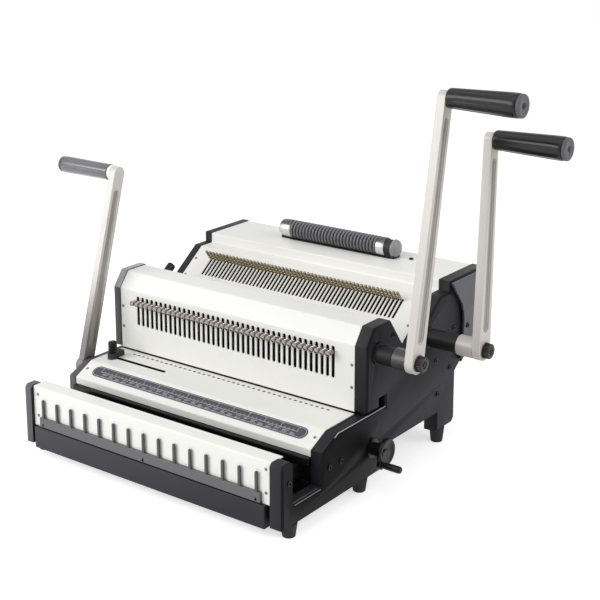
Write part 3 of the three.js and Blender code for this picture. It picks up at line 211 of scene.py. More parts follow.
# Painted shade: a dark copy of the lever boss finish for the front and closer bosses; the rear boss
# keeps the pale one
BOSS_SHADED = finish("boss_painted_shade", linear(62, 62, 62), 0.36, metal=0.3, grain=(0.5, 0.03),
                   mottle=(14, 0.12))
BOSS_PALE = finish("boss_pale", linear(190, 186, 182), 0.42, metal=0.1, grain=(0.5, 0.03),
                   mottle=(14, 0.05))
# Painted shade: the lower bar's black falls to 0.6 from its left end to its right end
LOWER_BLACK_SHADED_RIGHT = finish("lower_bar_black_painted_shade", linear(55, 55, 59), 0.42, grain=(0.5, 0.04),
                     mottle=(50, 0.1), specular=0.2, fade=("X", -180, 170, 0.6))
DARK_CAST = finish("dark_cast", linear(18, 18, 19), 0.6, grain=(0.7, 0.06), mottle=(20, 0.15),
                   specular=0.2)
LEVER_SILVER = finish("lever_silver", linear(206, 204, 197), 0.42, metal=0.1,
                      grain=(0.7, 0.04), mottle=(25, 0.03))
# Painted shade: the closer lever's grey darkens towards the bottom, to 0.32 at z 120 mm
LEVER_GREY_SHADED_LOW = finish("lever_grey_painted_shade", linear(212, 208, 204), 0.42, metal=0.12, grain=(0.7, 0.04),
                    mottle=(25, 0.05), fade=("Z", 232, 120, 0.32))
# Painted shade: a darker metal for thin floors laid in the levers' grooves
LEVER_GROOVE_SHADE = finish("lever_groove", linear(158, 155, 148), 0.36, metal=0.35, grain=(0.7, 0.04),
                      mottle=(40, 0.14))
GROUND_STEEL = finish("ground_steel", linear(172, 170, 166), 0.34, metal=0.9,
                      grain=(0.3, 0.01), mottle=(12, 0.1), stretch=(0.15, 1, 1))
PIN_STEEL = finish("pin_steel", linear(144, 142, 137), 0.15, metal=0.9, grain=(0.3, 0.01),
                   mottle=(5, 0.2))
PIN_BRASS = finish("pin_brass", linear(142, 133, 108), 0.2, metal=0.8, grain=(0.3, 0.01),
                   mottle=(5, 0.25))
GRIP_BLACK = finish("grip_black", linear(14, 13, 17), 0.24, coat=0.0, grain=(1.2, 0.01),
                    mottle=(30, 0.1), rough_spread=0.04, specular=0.35)
# Painted sheen: the closer grip is a lighter metallic grey at its outer end, falling to 0.4 towards
# the arm
GRIP_SHEEN = finish("grip_painted_sheen", linear(104, 103, 110), 0.26, metal=0.3, coat=0.5, grain=(1.2, 0.01),
                   mottle=(30, 0.1), rough_spread=0.04, fade=("X", -300, -225, 0.4))
CAP_GREY = finish("cap_grey", linear(94, 94, 96), 0.5, grain=(0.5, 0.03), mottle=(8, 0.1),
                  specular=0.3)
BOLT_BLACK = finish("bolt_black", linear(32, 29, 28), 0.38, metal=0.4, grain=(0.4, 0.02),
                    mottle=(6, 0.15))
KNOB_BLACK = finish("knob_black", linear(13, 13, 14), 0.34, coat=0.03, grain=(1.0, 0.01),
                    mottle=(15, 0.1), specular=0.25)
GUIDE_BLACK = finish("guide_black", linear(32, 32, 34), 0.55, grain=(0.5, 0.04), mottle=(10, 0.1))
# Painted light and shade on the handle: its rib crests a lit grey, the core between the ribs and the
# recessed right ring near-black
HANDLE_RIB_LIT_RUBBER = finish("handle_rubber", linear(116, 116, 119), 0.4, grain=(0.6, 0.04),
                       mottle=(18, 0.12))
HANDLE_GROOVE_SHADE = finish("handle_groove_painted_shade", linear(14, 14, 15), 0.6, grain=(0.6, 0.04),
                       mottle=(18, 0.12))
# Painted shade: the handle ends' pale gloss falls to 0.12 over their top, from z 243.5 to 248.5 mm
HANDLE_GLOSS_SHADED_TOP = finish("handle_gloss_painted_shade_top", linear(214, 214, 214), 0.3, metal=0.6, coat=0.4,
                      fade=("Z", 243.5, 248.5, 0.12),
                      grain=(1.0, 0.01), mottle=(18, 0.1), rough_spread=0.04)
HANDLE_CAP = finish("handle_cap_grey", linear(134, 134, 136), 0.32, coat=0.3, grain=(1.0, 0.01),
                    mottle=(18, 0.1))
FOOT_RUBBER = finish("foot_rubber", linear(24, 24, 25), 0.75, grain=(0.8, 0.06), mottle=(10, 0.15))
TRAY_BLACK = finish("tray_black", linear(36, 36, 38), 0.5, grain=(0.6, 0.04), mottle=(30, 0.1))
LABEL_FILM = finish("label_film", linear(60, 60, 70), 0.26, coat=0.3, grain=(2.0, 0.004),
                    mottle=(40, 0.15), specular=0.4)
SCREW_STEEL = finish("screw_steel", linear(120, 118, 114), 0.35, metal=0.8, grain=(0.3, 0.01),
                     mottle=(3, 0.15))
SCREW_BLACK = finish("screw_black", linear(12, 12, 13), 0.4, metal=0.3, grain=(0.3, 0.02),
                     mottle=(3, 0.2), specular=0.3)
PRINT_DARK = finish("print_dark", linear(62, 62, 64), 0.6, grain=(0.3, 0.005), mottle=(4, 0.2))
PRINT_WHITE = finish("print_white", linear(196, 196, 202), 0.5, grain=(0.3, 0.005),
                     mottle=(4, 0.05))

NODE_FINISH = {
    "frame_black": COATED_BLACK, "cover_white": COATED_WHITE, "tool_steel": GROUND_STEEL,
    "pin_steel": PIN_STEEL, "pin_brass": PIN_BRASS, "lever_silver": LEVER_SILVER,
    "grip_gloss": GRIP_BLACK, "cap_grey": CAP_GREY, "bolt_black": BOLT_BLACK,
    "knob_black": KNOB_BLACK, "guide_black": GUIDE_BLACK, "handle_rubber": HANDLE_RIB_LIT_RUBBER,
    "foot_rubber": FOOT_RUBBER, "tray_black": TRAY_BLACK, "label_black": LABEL_FILM,
}


# ---------------------------------------------------------------- mesh helpers
def add_object(name, mesh, material):
    made = bpy.data.objects.new(name, mesh)
    bpy.context.scene.collection.objects.link(made)
    if material is not None:
        mesh.materials.append(material)
    return made


def settled(made):
    """The object's modifiers, once and for all, in its mesh."""
    graph = bpy.context.evaluated_depsgraph_get()
    mesh = bpy.data.meshes.new_from_object(made.evaluated_get(graph), depsgraph=graph)
    made.modifiers.clear()
    made.data = mesh
    return made


def soften(made, width, steps=2, angle=35):
    """Rounds the sharp edges, so that they catch the light."""
    bevel = made.modifiers.new("edges", "BEVEL")
    bevel.width = width / 1000
    bevel.segments = steps
    bevel.limit_method = "ANGLE"
    bevel.angle_limit = math.radians(angle)
    bevel.harden_normals = True
    bevel.use_clamp_overlap = True
    return made


def shade(mesh, angle=35):
    for face in mesh.polygons:
        face.use_smooth = True
    mesh.set_sharp_from_angle(angle=math.radians(angle))


def make(name, bm, material, body, nodes=(), bevel=0.0, steps=2, angle=35, recalc=True,
         cutters=()):
    """Turns a drawn mesh in millimetres into a piece on its body."""
    if recalc:
        bmesh.ops.recalc_face_normals(bm, faces=bm.faces)
    bm.transform(TO_FRAME)
    mesh = bpy.data.meshes.new(name)
    bm.to_mesh(mesh)
    bm.free()
    made = add_object(name, mesh, material)
    if cutters:
        carve(made, cutters)
    if bevel:
        for face in made.data.polygons:
            face.use_smooth = True
        soften(made, bevel, steps, angle)
        settled(made)
    else:
        shade(made.data, angle)
    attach(made, body)
    if nodes:
        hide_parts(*nodes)
    return made


def carve(made, cutters):
    """Cuts closed shapes, drawn in millimetres, out of an object."""
    tool_bm = bmesh.new()
    for cutter in cutters:
        bmesh.ops.recalc_face_normals(cutter, faces=cutter.faces)
        scratch = bpy.data.meshes.new("cutter")
        cutter.to_mesh(scratch)
        cutter.free()
        tool_bm.from_mesh(scratch)
        bpy.data.meshes.remove(scratch)
    tool_bm.transform(TO_FRAME)
    mesh = bpy.data.meshes.new("tool")
    tool_bm.to_mesh(mesh)
    tool_bm.free()
    tool = add_object("tool", mesh, None)
    boolean = made.modifiers.new("cut", "BOOLEAN")
    boolean.operation = "DIFFERENCE"
    boolean.solver = "EXACT"
    boolean.object = tool
    settled(made)
    bpy.data.objects.remove(tool)


def dressed(node, material, bevel=0.5, steps=2, before=None, extra=()):
    """A CAD node's own shape with its edges rounded and its finish, in the node's place."""
    source = frame["nodes"][node]
    bm = bmesh.new()
    bm.from_mesh(source.data)
    bmesh.ops.remove_doubles(bm, verts=bm.verts, dist=2e-6)
    bmesh.ops.dissolve_limit(
        bm, angle_limit=math.radians(0.6), verts=bm.verts, edges=bm.edges)
    if before:
        before(bm)
    mesh = bpy.data.meshes.new(node + "_skin")
    bm.to_mesh(mesh)
    bm.free()
    made = add_object(node + "_skin", mesh, material)
    for finish_made in extra:
        mesh.materials.append(finish_made)
    for face in mesh.polygons:
        face.use_smooth = True
    soften(made, bevel, steps)
    settled(made)
    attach(made, BODY_OF[node])
    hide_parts(node)
    return made


def prism(bm, outline, from_x, to_x):
    """A side view outline of (y, z) points, extruded across the machine."""
    near = [bm.verts.new((from_x, y, z)) for y, z in outline]
    far = [bm.verts.new((to_x, y, z)) for y, z in outline]
    bm.faces.new(near[::-1])
    bm.faces.new(far)
    for i in range(len(outline)):
        j = (i + 1) % len(outline)
        bm.faces.new((near[i], near[j], far[j], far[i]))
    return bm


def box(bm, from_x, to_x, from_y, to_y, from_z, to_z):
    return prism(bm, [(from_y, from_z), (to_y, from_z), (to_y, to_z), (from_y, to_z)],
                 from_x, to_x)


def lathe(bm, profile, origin, axis, segments=40, flutes=0, flute_depth=0.0, flute_span=(0, 0)):
    """Turns (distance along the axis, radius) points about an axis, with flutes if asked."""
    axis = Vector(axis).normalized()
    side = axis.orthogonal().normalized()
    if abs(axis.x) > 0.9:
        side = Vector((0, 0, 1))
    across = axis.cross(side)
    rings = []
    for along, radius in profile:
        centre = Vector(origin) + axis * along
        if radius < 1e-6:
            rings.append([bm.verts.new(centre)])
            continue
        ring = []
        for k in range(segments):
            angle = 2 * math.pi * k / segments
            reach = radius
            if flutes and flute_span[0] <= along <= flute_span[1]:
                wave = 0.5 - 0.5 * math.cos(flutes * angle)
                reach -= flute_depth * wave ** 3
            ring.append(bm.verts.new(
                centre + (side * math.cos(angle) + across * math.sin(angle)) * reach))
        rings.append(ring)
    for first, second in zip(rings, rings[1:]):
        for k in range(segments):
            j = (k + 1) % segments
            if len(first) == 1 and len(second) == 1:
                continue
            if len(first) == 1:
                bm.faces.new((first[0], second[j], second[k]))
            elif len(second) == 1:
                bm.faces.new((first[k], first[j], second[0]))
            else:
                bm.faces.new((first[k], first[j], second[j], second[k]))
    for ring, flip in ((rings[0], True), (rings[-1], False)):
        if len(ring) > 1:
            bm.faces.new(ring[::-1] if flip else ring)
    return bm


def arc_path(points, radius, steps=5):
    """An open path with its inner corners rounded."""
    path = [points[0]]
    for before, corner, after in zip(points, points[1:], points[2:]):
        a, b, c = Vector(before), Vector(corner), Vector(after)
        back, forth = (a - b).normalized(), (c - b).normalized()
        half = back.angle(forth) / 2
        reach = min(radius / math.tan(half), (a - b).length * 0.45, (c - b).length * 0.45)
        bow = reach * math.tan(half)
        centre = b + (back + forth).normalized() * (bow / math.sin(half))
        start, stop = b + back * reach - centre, b + forth * reach - centre
        turn = start.angle_signed(stop)
        for k in range(steps + 1):
            spin = Matrix.Rotation(-turn * k / steps, 2)
            path.append(tuple(centre + spin @ start))
    path.append(points[-1])
    return path


def hull_outline(start, stop, start_radius, stop_radius, steps=12):
    """The outline round two circles, in (along, across) points."""
    angle = math.acos((start_radius - stop_radius) / (stop - start))
    points = []
    for k in range(steps + 1):
        a = -angle + 2 * angle * k / steps
        points.append((stop + stop_radius * math.cos(a), stop_radius * math.sin(a)))
    for k in range(steps + 1):
        a = angle + (2 * math.pi - 2 * angle) * k / steps
        points.append((start + start_radius * math.cos(a), start_radius * math.sin(a)))
    return points


# ---------------------------------------------------------------- repeated pieces
def new_tree(name, sockets):
    tree = bpy.data.node_groups.new(name, "GeometryNodeTree")
    tree.interface.new_socket("Geometry", in_out="INPUT", socket_type="NodeSocketGeometry")
    for label, kind in sockets:
        tree.interface.new_socket(label, in_out="INPUT", socket_type=kind)
    tree.interface.new_socket("Geometry", in_out="OUTPUT", socket_type="NodeSocketGeometry")
    return tree


def close_tree(tree, start, geometry):
    """Every tree ends in realized instances with their material set."""
    real = tree.nodes.new("GeometryNodeRealizeInstances")
    coat = tree.nodes.new("GeometryNodeSetMaterial")
    out = tree.nodes.new("NodeGroupOutput")
    tree.links.new(geometry, real.inputs["Geometry"])
    tree.links.new(real.outputs["Geometry"], coat.inputs["Geometry"])
    tree.links.new(start.outputs["Material"], coat.inputs["Material"])
    tree.links.new(coat.outputs["Geometry"], out.inputs["Geometry"])


def row_tree():
    """Repeats a drawn piece along a straight row."""
    tree = new_tree("row", [("Count", "NodeSocketInt"), ("Step", "NodeSocketVector"),
                            ("Material", "NodeSocketMaterial")])
    start = tree.nodes.new("NodeGroupInput")
    line = tree.nodes.new("GeometryNodeMeshLine")
    line.mode = "OFFSET"
    copy = tree.nodes.new("GeometryNodeInstanceOnPoints")
    tree.links.new(start.outputs["Count"], line.inputs["Count"])
    tree.links.new(start.outputs["Step"], line.inputs["Offset"])
    tree.links.new(line.outputs["Mesh"], copy.inputs["Points"])
    tree.links.new(start.outputs["Geometry"], copy.inputs["Instance"])
    close_tree(tree, start, copy.outputs["Instances"])
    return tree


def placed_tree():
    """Sets a copy of a drawn piece on every point, turned to that point's own direction."""
    tree = new_tree("placed", [("Copied Piece", "NodeSocketObject"),
                               ("Material", "NodeSocketMaterial")])
    start = tree.nodes.new("NodeGroupInput")
    info = tree.nodes.new("GeometryNodeObjectInfo")
    aim = tree.nodes.new("GeometryNodeInputNamedAttribute")
    aim.data_type = "FLOAT_VECTOR"
    aim.inputs["Name"].default_value = "aim"
    turn = tree.nodes.new("FunctionNodeAlignRotationToVector")
    turn.axis = "Z"
    copy = tree.nodes.new("GeometryNodeInstanceOnPoints")
    tree.links.new(start.outputs["Copied Piece"], info.inputs["Object"])
    tree.links.new(start.outputs["Geometry"], copy.inputs["Points"])
    tree.links.new(info.outputs["Geometry"], copy.inputs["Instance"])
    tree.links.new(aim.outputs["Attribute"], turn.inputs["Vector"])
    tree.links.new(turn.outputs["Rotation"], copy.inputs["Rotation"])
    close_tree(tree, start, copy.outputs["Instances"])
    return tree


def trim_tree():
    """Sweeps a thin round wire along a drawn line."""
    tree = new_tree("trim", [("Radius", "NodeSocketFloat"), ("Material", "NodeSocketMaterial")])
    start = tree.nodes.new("NodeGroupInput")
    line = tree.nodes.new("GeometryNodeMeshToCurve")
    ring = tree.nodes.new("GeometryNodeCurvePrimitiveCircle")
    ring.inputs["Resolution"].default_value = 6
    sweep = tree.nodes.new("GeometryNodeCurveToMesh")
    sweep.inputs["Fill Caps"].default_value = True
    tree.links.new(start.outputs["Geometry"], line.inputs["Mesh"])
    tree.links.new(start.outputs["Radius"], ring.inputs["Radius"])
    tree.links.new(line.outputs["Curve"], sweep.inputs["Curve"])
    tree.links.new(ring.outputs["Curve"], sweep.inputs["Profile Curve"])
    close_tree(tree, start, sweep.outputs["Mesh"])
    return tree


ROW_TREE = row_tree()
PLACED_TREE = placed_tree()
TRIM_TREE = trim_tree()


def set_inputs(modifier, values):
    for item in modifier.node_group.interface.items_tree:
        if item.in_out == "INPUT" and item.name in values:
            modifier[item.identifier] = values[item.name]


def row(name, bm, count, step, material, body, nodes=(), angle=35):
    """A row of one drawn piece: count times, each a step further."""
    bmesh.ops.recalc_face_normals(bm, faces=bm.faces)
    bm.transform(TO_FRAME)
    mesh = bpy.data.meshes.new(name)
    bm.to_mesh(mesh)
    bm.free()
    shade(mesh, angle)
    made = add_object(name, mesh, material)
    modifier = made.modifiers.new("row", "NODES")
    modifier.node_group = ROW_TREE
    set_inputs(modifier, {"Count": count, "Step": tuple(s / 1000 for s in step),
                          "Material": material})
    settled(made)
    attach(made, body)
    if nodes:
        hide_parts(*nodes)
    return made


def placed(name, draw, spots, material, body, nodes=(), angle=35):
    """One drawn piece, its foot at the origin and its head up, on every (place, direction)."""
    bm = bmesh.new()
    draw(bm)
    bmesh.ops.recalc_face_normals(bm, faces=bm.faces)
    bm.transform(Matrix.Scale(0.001, 4))
    mesh = bpy.data.meshes.new(name + "_pattern")
    bm.to_mesh(mesh)
    bm.free()
    shade(mesh, angle)
    pattern = bpy.data.objects.new(name + "_pattern", mesh)
    points = bpy.data.meshes.new(name)
    points.from_pydata([TO_FRAME @ Vector(place) for place, _ in spots], [], [])
    aim = points.attributes.new("aim", "FLOAT_VECTOR", "POINT")
    for item, (_, direction) in zip(aim.data, spots):
        item.vector = direction
    made = add_object(name, points, material)
    modifier = made.modifiers.new("placed", "NODES")
    modifier.node_group = PLACED_TREE
    set_inputs(modifier, {"Copied Piece": pattern, "Material": material})
    settled(made)
    bpy.data.objects.remove(pattern)
    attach(made, body)
    if nodes:
        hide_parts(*nodes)
    return made


def trim(name, lines, radius, material, body):
    """Thin wires along open lines of (x, y, z) points."""
    points, edges = [], []
    for line in lines:
        edges += [(len(points) + k, len(points) + k + 1) for k in range(len(line) - 1)]
        points += [TO_FRAME @ Vector(point) for point in line]
    mesh = bpy.data.meshes.new(name)
    mesh.from_pydata(points, edges, [])
    made = add_object(name, mesh, material)
    modifier = made.modifiers.new("trim", "NODES")
    modifier.node_group = TRIM_TREE
    set_inputs(modifier, {"Radius": radius / 1000, "Material": material})
    settled(made)
    shade(made.data, 70)
    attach(made, body)
    return made


# ---------------------------------------------------------------- side frames and base
def notch_paint(bm):
    """The notch between table and tower takes near-black painted shade inside."""
    low, high = TO_FRAME @ Vector((0, -28.6, 101.5)), TO_FRAME @ Vector((0, -12.8, 116.6))
    for face in bm.faces:
        spot = face.calc_center_median()
        if abs(face.normal.x) < 0.5 and low.y < spot.y < high.y and low.z < spot.z < high.z:
            face.material_index = 1


def outer_chamfer(bm):
    """A chamfer round the outer face of the right side cover: its upright and rear faces take
    near-black painted shade, and it keeps the cover's paler black along the table's rail.
    """
    bm.normal_update()
    notch_paint(bm)
    lit = max(v.co.x for v in bm.verts)
    spots = [TO_FRAME @ Vector((0, y, z)) for y, z in ((-34, 178), (87, 164.5), (-45, 56.6))]

    def at_rim(edge):
        if any(abs(v.co.x - lit) > 1e-5 for v in edge.verts):
            return False
        if not any(abs(face.normal.x) < 0.5 for face in edge.link_faces):
            return False
        middle = (edge.verts[0].co + edge.verts[1].co) / 2
        return all((middle.yz - spot.yz).length > 0.009 for spot in spots)

    rim = [edge for edge in bm.edges if at_rim(edge)]
    fresh = bmesh.ops.bevel(bm, geom=rim, offset=0.0024, segments=1, affect="EDGES",
                            clamp_overlap=True)
    bm.normal_update()
    front = (TO_FRAME @ Vector((0, -120, 0))).y
    for face in fresh["faces"]:
        if abs(face.normal.x) < 0.98:
            upright = face.normal.z < 0.3
            face.material_index = 1 if upright or face.calc_center_median().y > front + 0.07 else 0


def dark_faces(bm):
    """The left frame's broad and rear faces are dark, its front edges a paler black as painted light,
    and the upward chamfers of its tower a pale painted highlight.
    """
    bm.normal_update()
    for face in bm.faces:
        spot = face.calc_center_median()
        face.material_index = 1 if abs(face.normal.x) > 0.9 or spot.y > 0.02 else 0
        if face.normal.z > 0.2 and spot.z > 0.185 and -0.07 < spot.y < -0.002:
            face.material_index = 2


dressed("left_side_frame", LEFT_FRAME_LIT_BLACK, 1.2, 2, before=dark_faces,
        extra=(COATED_BLACK, TOWER_CHAMFER_HIGHLIGHT))
dressed("right_side_frame", COATED_BLACK, 0.5, 2, before=notch_paint, extra=(SHADE_BLACK,))
dressed("right_side_cover", SIDE_BLACK_SHADED_FRONT, 0.2, 1, before=outer_chamfer, extra=(SHADE_BLACK,))
dressed("front_base_plate", DARK_CAST, 0.4)
dressed("rear_base_plate", DARK_CAST, 0.4)
dressed("closer_lower_bar", LOWER_BLACK_SHADED_RIGHT, 1.3, 3)
# The anvil takes the near-black screw finish: painted shade in the gap under the table's lip
dressed("closer_anvil", SCREW_BLACK, 0.6)
dressed("back_panel", COATED_BLACK, 0.4)
dressed("press_jaw", INNER_SHADE_BLACK, 0.7)
dressed("chip_tray", TRAY_BLACK, 0.4)

# Raised cover at the rear of the right side, on a spacer that leaves a dark gap at its edge; the
# spacer's near-black is painted shade in that gap
RAISED = [(136.5, 226), (146, 213), (156, 200), (163.5, 190), (168.2, 177), (169.4, 163),
          (168.5, 150), (165.8, 125), (163.8, 108.3), (234, 152), (234, 226)]
SPACER = [(145, 223), (172, 183), (172.5, 150), (167, 111), (230, 152), (230, 222)]
raised = prism(bmesh.new(), RAISED, 221.2, 224.4)
make("raised_side_cover_plate", raised, RAISED_BLACK, "base",
     nodes=("raised_side_cover",), bevel=0.6, angle=20)
make("raised_side_cover_spacer", prism(bmesh.new(), SPACER, 217.75, 221.1), SCREW_BLACK,
     "base", bevel=0.2)


# Painted highlights: a thin pale wire along the table's rail edge up to the notch, and two along the
# rails of the trough
RIM = RIGHT_FACE - 0.75
trim("rail_bright_edge", [
    [(RIM, -125, 98.1), (RIM, -117.6, 101.6), (RIM, -14, 101.6)],
], 0.6, HIGHLIGHT_GREY, "base")
trim("trough_rail_edges", [
    [(x, -204, 41.75), (x, -152, 41.75)] for x in (211.2, 215.9)
], 0.35, HIGHLIGHT_GREY, "base")


# ---------------------------------------------------------------- folded white covers
def folded_sheet(name, corners, radius, node, slots=None, cutters=()):
    """A bent sheet cover: corners is its outer line from the front, slots its row of openings.

    slots is (which flat, where along it they start and stop, half width, count, pitch).
    """
    path = arc_path(corners, radius)
    columns = [-COVER_HALF, COVER_HALF]
    bm = bmesh.new()
    if slots:
        flat, low, high, half, count, pitch = slots
        first = -pitch * (count - 1) / 2
        columns = [-COVER_HALF]
        for k in range(count):
            columns += [first + (k - 0.5) * pitch, first + k * pitch]
        columns += [first + (count - 0.5) * pitch, COVER_HALF]
        start = Vector(corners[flat])
        way = (Vector(corners[flat + 1]) - start).normalized()
        margin = 2.0
        band = [tuple(start + way * (low - margin)), tuple(start + way * (high + margin))]
        at = next(i for i, point in enumerate(path)
                  if (Vector(point) - start).dot(way) > high + margin - 1e-6
                  or i == len(path) - 1)
        path = path[:at] + band + path[at:]
    rows = [[bm.verts.new((x, y, z)) for x in columns] for y, z in path]
    for i in range(len(path) - 1):
        for j in range(len(columns) - 1):
            if slots and i == at and 0 < j < len(columns) - 2:
                continue
            bm.faces.new((rows[i][j], rows[i][j + 1], rows[i + 1][j + 1], rows[i + 1][j]))
    if slots:
        low_row, high_row = rows[at], rows[at + 1]
        turns = 5
        for k in range(count):
            centre = first + k * pitch
            left, middle, right = 1 + 2 * k, 2 + 2 * k, 3 + 2 * k

            def ring_vert(across, along):
                y, z = start + way * along
                return bm.verts.new((centre + across, y, z))

            foot, head = ring_vert(0, low), ring_vert(0, high)
            for side, edge in ((-1, left), (1, right)):
                line = [foot]
                for t in range(1, turns + 1):
                    a = math.pi / 2 * t / turns
                    line.append(ring_vert(side * half * math.sin(a), low + half * (1 - math.cos(a))))
                for t in range(turns):
                    a = math.pi / 2 * (1 - t / turns)
                    line.append(ring_vert(side * half * math.sin(a), high - half * (1 - math.cos(a))))
                line.append(head)
                loop = [low_row[edge], low_row[middle], *line, high_row[middle], high_row[edge]]
                bm.faces.new(loop if side < 0 else loop[::-1])
    bm.normal_update()
    bm.transform(TO_FRAME)
    mesh = bpy.data.meshes.new(name)
    bm.to_mesh(mesh)
    bm.free()
    made = add_object(name, mesh, COATED_WHITE)
    for face in mesh.polygons:
        face.use_smooth = True
    wall = made.modifiers.new("wall", "SOLIDIFY")
    wall.thickness = SHEET / 1000
    wall.offset = -1
    wall.use_even_offset = True
    settled(made)
    if cutters:
        carve(made, cutters)
    soften(made, 0.3, 2, 50)
    settled(made)
    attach(made, BODY_OF[node])
    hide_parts(node)
    return made


def slot_cutter(from_x, to_x, place, up, width, depth):
    """A long slot with round ends, cut along x through a sheet at a side view place."""
    bm = bmesh.new()
    half = width / 2
    across = Vector((0, -up[1], up[0]))
    rise = Vector((0, *up))
    outline = []
    for end, turn in ((to_x - half, -math.pi / 2), (from_x + half, math.pi / 2)):
        for k in range(9):
            a = turn + math.pi * k / 8
            outline.append(Vector((end + half * math.cos(a), 0, 0)) + across * half * math.sin(a))
    centre = Vector((0, *place))
    low = [bm.verts.new(centre + p - rise * depth) for p in outline]
    high = [bm.verts.new(centre + p + rise * depth) for p in outline]
    bm.faces.new(low[::-1])
    bm.faces.new(high)
    for i in range(len(outline)):
        j = (i + 1) % len(outline)
        bm.faces.new((low[i], low[j], high[j], high[i]))
    return bm


LEDGE_ALONG = (210.5 - THROAT[1]) / UP_Z
folded_sheet(
    "front_tower_cover",
    [(FRONT_FACE, 103.2), (FRONT_FACE, 190), (-39, 211), (-4, 211), rear_point(-3.5, 0)],
    3.0, "tower_cover", slots=(0, 37.4, 79.5, 2.4, 40, 8.4667),
    cutters=[slot_cutter(-186, -85, rear_point(-3.5, -45), (-UP_Y, -UP_Z), 6, 5)],
)
folded_sheet(
    "rear_unit_cover",
    [rear_point(0, 0), rear_point(LEDGE_ALONG, 0), (144, 210.5), (144, 225), (233, 225)],
    2.2, "rear_cover", slots=(0, 45.7, 78.7, 1.85, 53, 6.35),
)
folded_sheet(
    "table_cover", [(-147, 76.5), (-147, 86), (-117, 101), (FRONT_FACE, 101)], 2.5, "table_plate",
    cutters=[slot_cutter(-186, -85, (-90, 101), (0, 1), 6, 5)],
)
folded_sheet(
    "closer_cover", [(CLOSER_PLATE, 43.3), (CLOSER_PLATE, 98), (CLOSER_PLATE + 22, 98)], 2.2,
    "closer_front_plate",
)


# ---------------------------------------------------------------- pull pins
def pin(bm, place, out, reach, head, stem):
    """A turned pull pin: a short stem and a long head with grooves and a round end."""
    span = reach - stem
    profile = [(-12.4, 0), (-12.4, 1.1), (stem, 1.1), (stem, head * 0.8)]
    for k in range(3):
        low, high = stem + span * k / 3, stem + span * (k + 1) / 3
        profile += [(low + 0.5, head), (high - 1.4, head), (high - 1.0, head * 0.74),
                    (high - 0.2, head * 0.74)]
    profile = profile[:-2] + [(reach - 0.4, head * 0.8), (reach, head * 0.45), (reach, 0)]
    lathe(bm, profile, place, out, 16)
    return bm


PIN_Y, PIN_Z = FRONT_FACE, 176.0
front_pin = pin(bmesh.new(), (-165.1, PIN_Y, PIN_Z), (0, -1, 0), 14.5, 3.6, 3.0)
row("front_pins_row", front_pin, 40, (8.4667, 0, 0), PIN_STEEL, "front_pins",
    nodes=("front_pull_pins",))
make("front_pins_rail", box(bmesh.new(), -166.2, 166.2, FRONT_FACE + 12.3, FRONT_FACE + 13.8,
                            PIN_Z - 2.5, PIN_Z + 2.5),
     GROUND_STEEL, "front_pins", bevel=0.3)
rear_place = rear_point(74.5, 0)
rear_pin = pin(bmesh.new(), (-165.1, *rear_place), (0, -UP_Z, UP_Y), 20.0, 2.05, 4.0)
row("rear_pins_row", rear_pin, 53, (6.35, 0, 0), PIN_BRASS, "rear_pins",
    nodes=("rear_pull_pins",))
rail_outline = [rear_point(72, 12.3), rear_point(77, 12.3), rear_point(77, 13.8),
                rear_point(72, 13.8)]
make("rear_pins_rail", prism(bmesh.new(), rail_outline, -166.2, 166.2), GROUND_STEEL,
     "rear_pins", bevel=0.3)


# ---------------------------------------------------------------- wire rack
RACK_TOP = 57.8
rack = box(bmesh.new(), -184, 184, CLOSER_FRONT, CLOSER_PLATE - FIT, 45.0, RACK_TOP)
make("wire_rack_bar", rack, RACK_BLACK, "base", nodes=("wire_rack",), bevel=0.5)
# Painted shade: a near-black strip fills the gap under the rack bar, so the gap reads as a dark line
gap_strip = box(bmesh.new(), -184, 184, CLOSER_FRONT + 2.2, CLOSER_PLATE - FIT, 43.3, 44.95)
make("wire_rack_seat", gap_strip, SCREW_BLACK, "base")


def finger(bm, x):
    """One rack finger: a flat blade with a round top, leaning on the bar."""
    outline = [(x - 2, RACK_TOP - 0.4), (x + 2, RACK_TOP - 0.4)]
    for k in range(9):
        a = math.pi * k / 8
        outline.append((x + 2 * math.cos(a), 81 + 2 * math.sin(a)))
    near = [bm.verts.new((u, CLOSER_FRONT + 0.5, v)) for u, v in outline]
    far = [bm.verts.new((u, CLOSER_FRONT + 2.9, v)) for u, v in outline]
    bm.faces.new(near)
    bm.faces.new(far[::-1])
    for i in range(len(outline)):
        j = (i + 1) % len(outline)
        bm.faces.new((near[i], near[j], far[j], far[i]))
    bmesh.ops.bevel(bm, geom=[e for e in bm.edges
                              if abs(e.verts[0].co.y - e.verts[1].co.y) < 1e-4],
                    offset=0.35, segments=2, affect="EDGES")
    return bm


row("wire_rack_fingers", finger(bmesh.new(), -177.8), 15, (25.4, 0, 0), FINGER_BLACK, "base")


def arrows():
    bm = bmesh.new()
    for x in (-177.8, 0, 177.8):
        corners = [(x - 2.2, 46.5), (x + 2.2, 46.5), (x, 51.6)]
        low = [bm.verts.new((u, CLOSER_FRONT + 0.1, v)) for u, v in corners]
        high = [bm.verts.new((u, CLOSER_FRONT, v)) for u, v in corners]
        bm.faces.new(low)
        bm.faces.new(high[::-1])
        for i in range(3):
            j = (i + 1) % 3
            bm.faces.new((low[i], low[j], high[j], high[i]))
    return bm


make("rack_arrow_marks", arrows(), PRINT_WHITE, "base")


# ---------------------------------------------------------------- screws
def socket_screw(radius, height):
    """A cap screw with a round socket in its head."""
    def draw(bm):
        lathe(bm, [(-1.2, 0), (-1.2, radius * 0.9), (0, radius * 0.96), (height * 0.7, radius),
                   (height, radius * 0.86), (height, radius * 0.52), (height * 0.2, radius * 0.46),
                   (height * 0.2, 0)], (0, 0, 0), (0, 0, 1), 24)
    return draw


